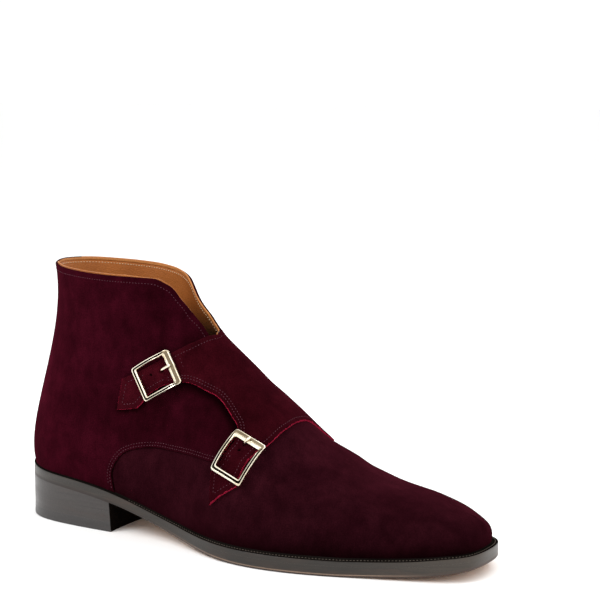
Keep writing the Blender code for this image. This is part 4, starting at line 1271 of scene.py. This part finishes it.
def heel_ring(height_or_none, rise, inset=0.0, half=40, across=16):
    """Outline of the heel block: its curved back and a hollow breast that
    leans back towards the top."""
    lean = BREAST_LEAN * (height_or_none if height_or_none is not None else 17.0)
    front = HEEL_BREAST_X - lean
    end = outline_place(-1, front)
    end_in = outline_place(1, front)
    t = np.linspace(0, 1, half + 1) ** 1.15
    s = np.r_[2 - t[:0:-1] * end_in, t * end]
    points, out = outline_at(s % 2)
    points = points - out * inset
    y = np.linspace(points[-1, 1], points[0, 1], across + 2)[1:-1]
    hollow = 2.2 * (1 - (2 * (y - y.mean()) / (points[0, 1] - points[-1, 1])) ** 2)
    breast = np.c_[front - inset - hollow, y]
    points[[0, -1], 0] = front - inset
    loop = np.concatenate([points, breast])
    if height_or_none is None:
        low, _ = sole_heights(loop[:, 0])
        return np.c_[loop, low + rise]
    return np.c_[loop, np.full(len(loop), height_or_none + rise)]


HEEL_JOIN = ((0.8, 0), (0, 0), (0, 0.5))


def build_heel():
    middle_low = TOP_LIFT_HEIGHT + 0.01
    middle_high = middle_low + MIDDLE_LIFT_HEIGHT + 0.5
    lifts = {
        "heel_top_piece": ("heel_rubber", "heel_rubber", 0.0, TOP_LIFT_HEIGHT, "heel_top_lift"),
        "heel_lift_middle": ("heel_leather", "heel_leather", middle_low, middle_high,
                             "heel_middle_lift"),
        "heel_lift_seat": ("heel_leather", "heel_leather", middle_high + 0.01, None, "heel_seat_lift"),
    }
    for name, (finish, slot, low, high, node) in lifts.items():
        foot = ((0.8, 0), (0.25, 0.04), (0.05, 0.22), (0, 0.5)) if low == 0 else HEEL_JOIN
        rings = [heel_ring(low, rise, inset) for inset, rise in foot]
        rings += [heel_ring(high, -rise, inset) for inset, rise in reversed(HEEL_JOIN)]
        stacked(name, rings, heel_cap, [MATERIALS[finish], MATERIALS["heel_breast"]], [0] * 9, [node],
                second_from=80)


# ---- buckles -------------------------------------------------------------
# Section of a bar from its outer to its inner foot: share of its width, share
# of its depth. Between the fifth and the ninth row lies the groove, or the
# satin slope of the near bar.
GROOVED = [(0, 0), (0, 0.55), (0.06, 0.85), (0.16, 1.0), (0.30, 0.95), (0.34, 0.6), (0.5, 0.45),
           (0.66, 0.6), (0.70, 0.95), (0.84, 1.0), (0.94, 0.85), (1, 0.55), (1, 0)]
ROOFED = [(0, 0), (0, 0.5), (0.04, 0.70), (0.09, 0.80), (0.15, 0.82), (0.2, 0.86), (0.36, 0.95),
          (0.5, 1.0), (0.58, 0.98), (0.71, 0.84), (0.85, 0.60), (1, 0.4), (1, 0)]
FIRST_GROOVE_ROW = 4
LAST_GROOVE_ROW = 7


def rounded_box(near, far, half_width, radius, bow=0.0, corner_steps=7, side_steps=10):
    """Points round a frame's edge, the same count for every size."""
    corners = [(near, half_width, 0), (-far, half_width, 90), (-far, -half_width, 180),
               (near, -half_width, 270)]
    arcs = []
    for a, b, turn in corners:
        middle = np.array([a - np.sign(a) * radius, b - np.sign(b) * radius])
        angle = np.radians(turn + np.linspace(0, 90, corner_steps))
        arcs.append(middle + radius * np.stack([np.cos(angle), np.sin(angle)], 1))
    points = []
    for k, arc in enumerate(arcs):
        points.append(arc)
        share = np.linspace(0, 1, side_steps + 2)[1:-1, None]
        points.append(arc[-1] * (1 - share) + arcs[(k + 1) % 4][0] * share)
    points = np.concatenate(points)
    points[:, 1] *= 1 + bow * (1 - (points[:, 0] / near) ** 2).clip(0)
    return points


def tube(path, radii, flat=1.0, sides=14):
    """A closed round bar along a path of (a, b, h) in a buckle's lengths."""
    path = np.asarray(path, float)
    run = np.gradient(path, axis=0)
    run = run / np.linalg.norm(run, axis=1)[:, None]
    rings = []
    for point, way, radius in zip(path, run, radii):
        first = np.cross(way, (0, 0, 1.0))
        if np.linalg.norm(first) < 0.2:
            first = np.cross(way, (1.0, 0, 0))
        first = first / np.linalg.norm(first)
        second = np.cross(first, way)
        angle = np.arange(sides) * 2 * np.pi / sides
        circle = point + radius * (np.cos(angle)[:, None] * first + flat * np.sin(angle)[:, None] * second)
        rings.append(circle)
    faces = ring_faces(len(rings), sides)
    faces.append(tuple(range(sides)))
    faces.append(tuple((len(rings) - 1) * sides + k for k in range(sides)))
    return np.concatenate(rings), faces


def build_buckle(name, spot):
    metal = [MATERIALS[look] for look in ("buckle_metal", "buckle_groove", "buckle_satin")]
    end, wide = FRAME_LENGTH / 2, FRAME_WIDTH / 2
    outer = rounded_box(end, end, wide, CORNER_RADIUS, 0.02)
    inner = rounded_box(end - NEAR_BAR, end - FAR_BAR, wide - SIDE_BAR, 0.8, 0.02)
    roof = smooth_step(outer[:, 0], end - NEAR_BAR - 0.6, end - 1.6)
    _, tip_b, _ = PRONG_PATHS[name][-1]
    notch = 0.25 * np.exp(-((outer[:, 1] - tip_b) / 1.3) ** 2) * (outer[:, 0] > end - 1)
    rings = []
    for (t0, h0), (t1, h1) in zip(GROOVED, ROOFED):
        t = (t0 + (t1 - t0) * roof)[:, None]
        h = -FRAME_DEPTH + FRAME_DEPTH * (h0 + (h1 - h0) * roof - notch * h1)
        flat = outer * (1 - t) + inner * t
        rings.append(spot.lay(flat[:, 0], flat[:, 1], h))
    count = len(outer)
    faces = ring_faces(len(rings), count)
    looks = []
    for r in range(len(rings) - 1):
        in_groove = FIRST_GROOVE_ROW <= r <= LAST_GROOVE_ROW
        looks += [(2 if roof[i] > 0.5 else 1) if in_groove else 0 for i in range(count)]
    last = (len(rings) - 1) * count
    faces += [(last + i, last + (i + 1) % count, (i + 1) % count, i) for i in range(count)]
    points = [np.concatenate(rings)]
    b = np.linspace(-1, 1, 9) * (wide - 5.5)
    ground = UPPER.at(*spot.on_chart(0 * b, b).T)
    under = spot.lengths(ground)[2] + 0.6
    bar, bar_faces = tube(np.c_[0 * b, b, under], np.full(len(b), AXLE_RADIUS))
    faces += [tuple(k + len(points[0]) for k in f) for f in bar_faces]
    looks += [0] * (count + len(bar_faces))
    points.append(spot.lay(*bar.T))
    add_piece(name + "_strap_buckle", np.concatenate(points), faces, metal, looks,
              [name + "_buckle_frame"], angle=0.9)
    path = np.array(PRONG_PATHS[name])
    t = np.r_[0, np.cumsum(np.linalg.norm(np.diff(path, axis=0), axis=1))]
    line = cubic(t, path, np.linspace(0, t[-1], 24))
    line[:, 2] += bow(line[:, 0])
    end_sizes = np.array([0.5, 0.85, 1.0])
    radii = PRONG_RADIUS * np.r_[end_sizes, np.ones(len(line) - 6), end_sizes[::-1]]
    bar, bar_faces = tube(line, radii, 0.8)
    add_piece(name + "_strap_prong", spot.lay(*bar.T), bar_faces, metal[:1], None,
              [name + "_buckle_prong"], angle=0.9)


# ---- materials -----------------------------------------------------------
class Recipe:
    """Short calls for building a material's nodes."""

    def __init__(self, name, roughness, metallic=0.0, **sockets):
        self.made = bpy.data.materials.new(name)
        self.made.use_nodes = True
        self.tree = self.made.node_tree
        self.shader = self.tree.nodes["Principled BSDF"]
        self.shader.inputs["Roughness"].default_value = roughness
        self.shader.inputs["Metallic"].default_value = metallic
        for socket, value in sockets.items():
            self.shader.inputs[socket.replace("_", " ")].default_value = value
        self.place = self.tree.nodes.new("ShaderNodeTexCoord").outputs["Object"]

    def node(self, kind, **settings):
        made = self.tree.nodes.new(kind)
        for key, value in settings.items():
            setattr(made, key, value)
        return made

    def link(self, source, target):
        self.tree.links.new(source, target)

    def noise(self, scale, detail=3.0, stretch=None, rough=0.5, distortion=0.0):
        made = self.node("ShaderNodeTexNoise")
        made.inputs["Scale"].default_value = scale
        made.inputs["Detail"].default_value = detail
        made.inputs["Roughness"].default_value = rough
        made.inputs["Distortion"].default_value = distortion
        place = self.place
        if stretch:
            turn = self.node("ShaderNodeMapping")
            turn.inputs["Scale"].default_value = stretch
            self.link(place, turn.inputs["Vector"])
            place = turn.outputs["Vector"]
        self.link(place, made.inputs["Vector"])
        return made.outputs["Fac"]

    def ramp(self, source, *stops):
        made = self.node("ShaderNodeValToRGB")
        line = made.color_ramp
        while len(line.elements) < len(stops):
            line.elements.new(0.5)
        for element, (at, colour) in zip(line.elements, stops):
            element.position = at
            element.color = (*colour, 1) if len(colour) == 3 else colour
        self.link(source, made.inputs["Fac"])
        return made.outputs["Color"]

    def shade(self):
        """The painted light and shade that the mesh gives its points."""
        return self.node("ShaderNodeAttribute", attribute_name="shade").outputs["Color"]

    def grey(self, source, *stops):
        return self.ramp(source, *[(at, (v, v, v)) for at, v in stops])

    def mix(self, share, first, second, blend="MIX"):
        made = self.node("ShaderNodeMix", data_type="RGBA", blend_type=blend)
        if isinstance(share, float):
            made.inputs[0].default_value = share
        else:
            self.link(share, made.inputs[0])
        self.link(first, made.inputs[6])
        self.link(second, made.inputs[7])
        return made.outputs[2]

    def maths(self, kind, first, second):
        made = self.node("ShaderNodeMath", operation=kind)
        for k, value in enumerate((first, second)):
            if isinstance(value, (int, float)):
                made.inputs[k].default_value = value
            else:
                self.link(value, made.inputs[k])
        return made.outputs[0]

    def colour(self, source):
        self.link(source, self.shader.inputs["Base Color"])

    def roughness(self, source):
        self.link(source, self.shader.inputs["Roughness"])

    def bump(self, *layers):
        """Layers of (height, depth in metres)."""
        normal = None
        for source, depth in layers:
            made = self.node("ShaderNodeBump")
            made.inputs["Strength"].default_value = 1.0
            made.inputs["Distance"].default_value = depth
            self.link(source, made.inputs["Height"])
            if normal is not None:
                self.link(normal, made.inputs["Normal"])
            normal = made.outputs["Normal"]
        self.link(normal, self.shader.inputs["Normal"])


def suede(name, dark, middle, light):
    """Brushed suede: broad and small patches where the nap lies another way,
    short strokes and a fine grain."""
    made = Recipe(name, 0.95, Sheen_Weight=0.075, Sheen_Roughness=0.5, Specular_IOR_Level=0.0)
    made.shader.inputs["Sheen Tint"].default_value = (0.6, 0.08, 0.15, 1)
    broad = made.noise(24, 3, rough=0.55, distortion=0.4)
    patches = made.noise(100, 2, rough=0.5, distortion=0.3)
    strokes = made.noise(190, 3, (1.0, 1.0, 0.45), rough=0.6)
    grain = made.noise(1500, 2, rough=0.6)
    base = made.ramp(broad, (0.30, dark), (0.52, middle), (0.74, light))
    # The last layer is the mesh's painted light and shade.
    for layer in (made.grey(patches, (0.32, 0.82), (0.68, 1.2)), made.grey(strokes, (0.3, 0.80), (0.7, 1.18)),
                  made.grey(grain, (0.3, 0.72), (0.7, 1.25)), made.shade()):
        base = made.mix(1.0, base, layer, "MULTIPLY")
    made.colour(base)
    made.bump((strokes, 0.00025), (grain, 0.0002))
    return made.made


def leather(name, dark, light, roughness, scale=300.0, depth=0.00012, patches=35.0, shaded=False,
            **sockets):
    """Smooth leather with pores and soft patches."""
    made = Recipe(name, roughness, **sockets)
    broad = made.noise(patches, 3)
    fine = made.noise(scale * 3, 2)
    cell = made.node("ShaderNodeTexVoronoi", feature="DISTANCE_TO_EDGE")
    cell.inputs["Scale"].default_value = scale * 2
    made.link(made.place, cell.inputs["Vector"])
    base = made.ramp(broad, (0.28, dark), (0.72, light))
    pores = made.grey(cell.outputs["Distance"], (0.0, 0.86), (0.12, 1.0))
    base = made.mix(1.0, base, pores, "MULTIPLY")
    base = made.mix(1.0, base, made.grey(fine, (0.3, 0.9), (0.7, 1.08)), "MULTIPLY")
    # shaded: the mesh's painted shade darkens the colour.
    if shaded:
        base = made.mix(1.0, base, made.shade(), "MULTIPLY")
    made.colour(base)
    made.roughness(made.grey(broad, (0.2, roughness - 0.06), (0.8, roughness + 0.08)))
    made.bump((made.grey(cell.outputs["Distance"], (0.0, 0.0), (0.2, 1.0)), depth), (fine, depth * 0.7))
    return made.made


def stacked_leather(name, dark, light, streak, roughness, along=None):
    """Polished edge of layered leather: fine level lines and streaks. along
    gives its brightness at places from the heel, 0, to the toe, 1."""
    made = Recipe(name, roughness, Coat_Weight=0.1, Coat_Roughness=0.25, Specular_IOR_Level=0.4)
    layers = made.noise(60, 4, (0.25, 0.25, 9.0), rough=0.65)
    streaks = made.noise(28, 3, (1.0, 1.0, 5.0), rough=0.6)
    fine = made.noise(900, 2)
    base = made.ramp(layers, (0.3, dark), (0.7, light))
    warm = made.ramp(layers, (0.3, streak), (0.7, light))
    tinted = made.mix(made.grey(streaks, (0.52, 0.0), (0.68, 0.75)), base, warm)
    tinted = made.mix(1.0, tinted, made.grey(fine, (0.3, 0.88), (0.7, 1.1)), "MULTIPLY")
    if along:
        split = made.node("ShaderNodeSeparateXYZ")
        made.link(made.place, split.inputs[0])
        share = made.maths("ADD", made.maths("MULTIPLY", split.outputs["X"], 3.28), 0.5)
        tinted = made.mix(1.0, tinted, made.grey(share, *along), "MULTIPLY")
    made.colour(tinted)
    made.roughness(made.grey(streaks, (0.3, roughness - 0.06), (0.75, roughness + 0.12)))
    made.bump((layers, 0.00006), (fine, 0.00006))
    return made.made


def polished_metal(name, dark, light, roughness):
    made = Recipe(name, roughness, metallic=1.0)
    broad = made.noise(110, 3)
    fine = made.noise(2600, 2, (1.0, 1.0, 0.3))
    made.colour(made.ramp(broad, (0.35, dark), (0.65, light)))
    made.roughness(made.grey(fine, (0.3, roughness - 0.05), (0.7, roughness + 0.07)))
    made.bump((fine, 0.000015))
    return made.made


def thread(name, dark, light, sheen):
    made = Recipe(name, 0.9, Sheen_Weight=sheen, Specular_IOR_Level=0.05)
    twist = made.noise(1400, 2)
    made.colour(made.ramp(twist, (0.35, dark), (0.65, light)))
    made.bump((twist, 0.0001))
    return made.made


EDGE_ALONG = ((0.0, 0.62), (0.46, 0.6), (0.6, 0.47), (0.8, 0.62), (0.94, 1.08))
MATERIALS = {
    "suede_quarter": suede("burgundy_suede", (0.0140, 0.0009, 0.0026), (0.0190, 0.0012, 0.0036),
                           (0.0280, 0.0018, 0.0054)),
    "suede_flap": suede("burgundy_suede_flap", (0.0145, 0.0010, 0.0022), (0.0200, 0.0014, 0.0030),
                        (0.0275, 0.0020, 0.0043)),
    # The vamp's copy is greyer than the others, partly painted sheen.
    "suede_vamp": suede("burgundy_suede_vamp", (0.0128, 0.0017, 0.0034), (0.0178, 0.0025, 0.0047),
                        (0.0245, 0.0038, 0.0068)),
    # Painted shade in the step where a quarter's seam edge lies over the vamp.
    "painted_seam_shade": suede("painted_seam_step_shade", (0.0020, 0.0002, 0.0004), (0.0028, 0.0003, 0.0005),
                       (0.0036, 0.0003, 0.0006)),
    "cut_edge": leather("raw_cut_edge", (0.22, 0.007, 0.024), (0.34, 0.016, 0.044), 1.0, 500.0, 0.0002, 160.0,
                        Specular_IOR_Level=0.0),
    "lining": leather("tan_lining", (0.30, 0.088, 0.016), (0.40, 0.132, 0.027), 0.55, 420.0, 0.00008,
                      shaded=True, Specular_IOR_Level=0.25),
    "lining_band": leather("tan_lining_band", (0.42, 0.15, 0.036), (0.52, 0.205, 0.055), 0.5, 420.0, 0.00008,
                           Specular_IOR_Level=0.3),
    "footbed": leather("tan_footbed", (0.10, 0.033, 0.008), (0.14, 0.05, 0.012), 0.6, 420.0, 0.00008),
    "sole_edge": stacked_leather("dark_sole_edge", (0.014, 0.0092, 0.0055), (0.034, 0.0242, 0.0158),
                                 (0.06, 0.03, 0.018), 0.36, EDGE_ALONG),
    "sole_edge_low": stacked_leather("dark_sole_edge_foot", (0.019, 0.011, 0.007), (0.043, 0.026, 0.017),
                                     (0.07, 0.032, 0.017), 0.38, EDGE_ALONG),
    "sole_foot": stacked_leather("dark_sole_foot", (0.030, 0.014, 0.008), (0.050, 0.024, 0.014),
                                 (0.07, 0.03, 0.016), 0.5,
                                 ((0.0, 0.33), (0.3, 0.33), (0.46, 0.55), (0.8, 0.6), (0.94, 1.0))),
    "sole_line": stacked_leather("sole_edge_line", (0.12, 0.078, 0.052), (0.20, 0.135, 0.095),
                                 (0.2, 0.12, 0.08), 0.5,
                                 ((0.0, 0.1), (0.36, 0.1), (0.5, 0.9), (0.84, 1.0), (0.93, 0.2))),
    "sole_bottom": leather("sole_leather_bottom", (0.42, 0.22, 0.10), (0.55, 0.31, 0.16), 0.6, 200.0),
    "welt_top": leather("welt_top", (0.004, 0.003, 0.0025), (0.010, 0.008, 0.007), 1.0, 400.0,
                        Specular_IOR_Level=0.0),
    "heel_leather": stacked_leather("stacked_heel", (0.026, 0.0213, 0.0196), (0.036, 0.030, 0.0276),
                                    (0.050, 0.031, 0.025), 0.38),
    "heel_rubber": stacked_leather("heel_top_piece", (0.024, 0.0208, 0.020), (0.0335, 0.030, 0.029),
                                   (0.042, 0.030, 0.026), 0.42),
    "heel_breast": leather("heel_breast", (0.004, 0.0028, 0.0022), (0.009, 0.006, 0.005), 0.85, 300.0,
                           Specular_IOR_Level=0.0),
    "buckle_metal": polished_metal("pale_gold", (0.74, 0.64, 0.47), (0.90, 0.84, 0.70), 0.18),
    "buckle_groove": polished_metal("dark_gold", (0.018, 0.013, 0.008), (0.05, 0.037, 0.022), 0.45),
    "buckle_satin": polished_metal("satin_gold", (0.17, 0.13, 0.08), (0.26, 0.21, 0.135), 0.45),
    "thread": thread("burgundy_thread", (0.05, 0.012, 0.02), (0.10, 0.035, 0.05), 0.05),
    "lining_thread": thread("pale_thread", (0.55, 0.38, 0.22), (0.74, 0.58, 0.40), 0.1),
    "welt_thread": thread("welt_thread", (0.07, 0.055, 0.045), (0.12, 0.10, 0.08), 0.05),
}


# ---- making the boot -----------------------------------------------------
def panel_piece(name, panel, spacing, look, replaces, shade):
    points, faces, groups = panel.mesh(spacing)
    looks = [MATERIALS[look], MATERIALS["cut_edge"], MATERIALS["painted_seam_shade"]]
    add_piece(name, points, faces, looks, groups, replaces, angle=1.0, shade=shade(points))


WELT_STITCHED = (0.30, 1.70)  # places on the outline, round the toe
WELT_GROOVE_AT = 0.51  # share of the ledge
STITCH = (1.9, 1.05, 0.19, 0.1)  # pitch, length, radius, how deep it sits


def stitch_rows(work, panel, height, rows):
    for distance, _, kinds in rows:
        spots, index = panel.inset(distance, kinds)
        for line in chains(spots, index, len(panel.edge)):
            work.on(line, height, *STITCH)


def stitch_piece(name, work, material):
    add_piece(name, work.points, work.faces, [MATERIALS[material]], None, (), angle=3.0)


def build_stitches(outer, inner):
    work = Stitches()
    stitch_rows(work, outer, level(QUARTER_TOP), OUTER_ROWS)
    stitch_piece("outer_quarter_stitching", work, "thread")
    work = Stitches()
    stitch_rows(work, inner, inner_top, INNER_ROWS)
    b = np.linspace(-3.5, 3.5, 9)
    line = SPOTS["upper"].on_chart(np.full(len(b), FRAME_LENGTH / 2 + 3.0), b)
    work.on(line, inner_top, *STITCH)
    for drop in (0.0, 1.6):
        bar = [(158.0, 59.5), (163.0, 58.4), (168.0, 57.4), (173.0, 56.8)]
        work.on(UPPER.place("inner", np.array(bar) - (0, drop)), inner_top, *STITCH)
    stitch_piece("inner_quarter_stitching", work, "thread")
    work = Stitches()
    for side in (-1, 1):
        line = sampled(collar_knots(side, COLLAR_TO, LINING_BEYOND), 1.0)
        _, by_q = steps_by_metre(*line.T)
        down = by_q * np.sign(line[:, 1])[:, None]
        down = down / np.linalg.norm(down, axis=1)[:, None]
        line = eased(moved_on_surface(line, down * 3.4), 6)
        normal = UPPER.normal(*line.T)
        spots = UPPER.at(*line.T) + normal * (LINING_BOTTOM + relief(*line.T))[:, None]
        work.line(spots, -normal, 1.9, 1.2, 0.22, sink=0.05)
    stitch_piece("lining_stitching", work, "lining_thread")
    work = Stitches()
    points, out = outline_at(np.linspace(*WELT_STITCHED, 900))
    points = points - out * (ledge_at(points) * WELT_GROOVE_AT)[:, None]
    _, high = sole_heights(points[:, 0])
    line = np.c_[points, high - 0.15]
    work.line(line, np.tile((0, 0, 1.0), (len(line), 1)), 1.9, 1.3, 0.22)
    stitch_piece("welt_stitching", work, "welt_thread")


def build_insole():
    rings = []
    for inset, rise in ((1.9, 0.4), (1.5, 0.9), (1.4, 2.6), (1.9, 3.1), (4, 3.3), (9, 3.1)):
        points = inset_points(even_places(100), WALL + inset)
        _, high = sole_heights(points[:, 0])
        rings.append(np.c_[points, high + rise])
    stacked("footbed", rings, strip_cap, [MATERIALS["footbed"]], [0] * 7, ["insole"])


def add_studio():
    mesh = bpy.data.meshes.new("studio_floor")
    size = 14.0
    corners = [(-size, -size, 0), (size, -size, 0), (size, size, 0), (-size, size, 0)]
    mesh.from_pydata(corners, [], [(0, 1, 2, 3)])
    floor = bpy.data.objects.new("studio_floor", mesh)
    bpy.context.scene.collection.objects.link(floor)
    made = Recipe("floor_paper", 0.6, Specular_IOR_Level=0.2)
    made.colour(made.ramp(made.noise(6, 2), (0.3, (0.97, 0.97, 0.97)), (0.7, (0.985, 0.985, 0.985))))
    mesh.materials.append(made.made)

    world = bpy.data.worlds.new("studio")
    world.use_nodes = True
    tree = world.node_tree
    place = tree.nodes.new("ShaderNodeTexCoord").outputs["Generated"]
    split = tree.nodes.new("ShaderNodeSeparateXYZ")
    tree.links.new(place, split.inputs[0])
    ramp = tree.nodes.new("ShaderNodeValToRGB")
    line = ramp.color_ramp
    stops = ((0.0, 1.06), (0.12, 1.06), (0.3, 0.8), (0.55, 0.85), (1.0, 1.35))
    while len(line.elements) < len(stops):
        line.elements.new(0.5)
    for element, (at, value) in zip(line.elements, stops):
        element.position = at
        element.color = (value, value, value * 0.995, 1)
    tree.links.new(split.outputs["Z"], ramp.inputs["Fac"])
    tree.links.new(ramp.outputs["Color"], tree.nodes["Background"].inputs["Color"])
    tree.nodes["Background"].inputs["Strength"].default_value = 1.0
    bpy.context.scene.world = world

    for name, place, aim, size, power in LIGHTS:
        data = bpy.data.lights.new(name, "AREA")
        data.shape = "RECTANGLE"
        data.size, data.size_y = size
        data.energy = power
        made = bpy.data.objects.new(name, data)
        bpy.context.scene.collection.objects.link(made)
        made.location = place
        made.rotation_euler = (Vector(aim) - Vector(place)).to_track_quat("-Z", "Y").to_euler()


# name, place, point that it faces, size, power: metres and watts
LIGHTS = [
    ("key_light", (-0.7, -1.1, 1.3), (0, 0, 0.08), (1.0, 0.8), 16),
    ("fill_light", (1.3, -0.6, 0.9), (0, 0, 0.08), (0.9, 0.9), 7),
    ("back_light", (0.3, 1.3, 1.2), (0, 0, 0.08), (1.4, 0.7), 12),
]

BOOT = bpy.data.collections.new("buckled_ankle_boot")
bpy.context.scene.collection.children.link(BOOT)
SPOTS = {name: BucklePlace(*row) for name, row in BUCKLES.items()}
FOLD_PATHS = fold_paths()


def main():
    looks = [MATERIALS["suede_vamp"]] * 2
    shell("vamp", VAMP_TOP, VAMP_BOTTOM, 0.3, 0.1, looks, ["upper"], foot_painted_shade)
    looks = [MATERIALS["lining"], MATERIALS["lining_band"], MATERIALS["suede_quarter"]]
    shell("leather_lining", LINING_TOP, LINING_BOTTOM, 0.35, 0.4, looks, ["upper"],
          throat_painted_shade, LINING_BEYOND, BAND_ROWS)
    outer = outer_quarter_panel()
    inner = inner_quarter_panel()
    panel_piece("outer_quarter", outer, 1.9, "suede_quarter", ["upper"],
                lambda points: outer_shade(points, inner))
    panel_piece("inner_quarter_with_straps", inner, 1.7, "suede_flap", ["strap_flap"], flap_shade)
    build_stitches(outer, inner)
    build_sole()
    build_heel()
    build_insole()
    for name, spot in SPOTS.items():
        build_buckle(name, spot)
    add_studio()


main()

scene = bpy.context.scene
scene.view_settings.view_transform = "Standard"
scene.view_settings.look = "None"
scene.view_settings.exposure = 0.0
scene.view_settings.gamma = 1.0
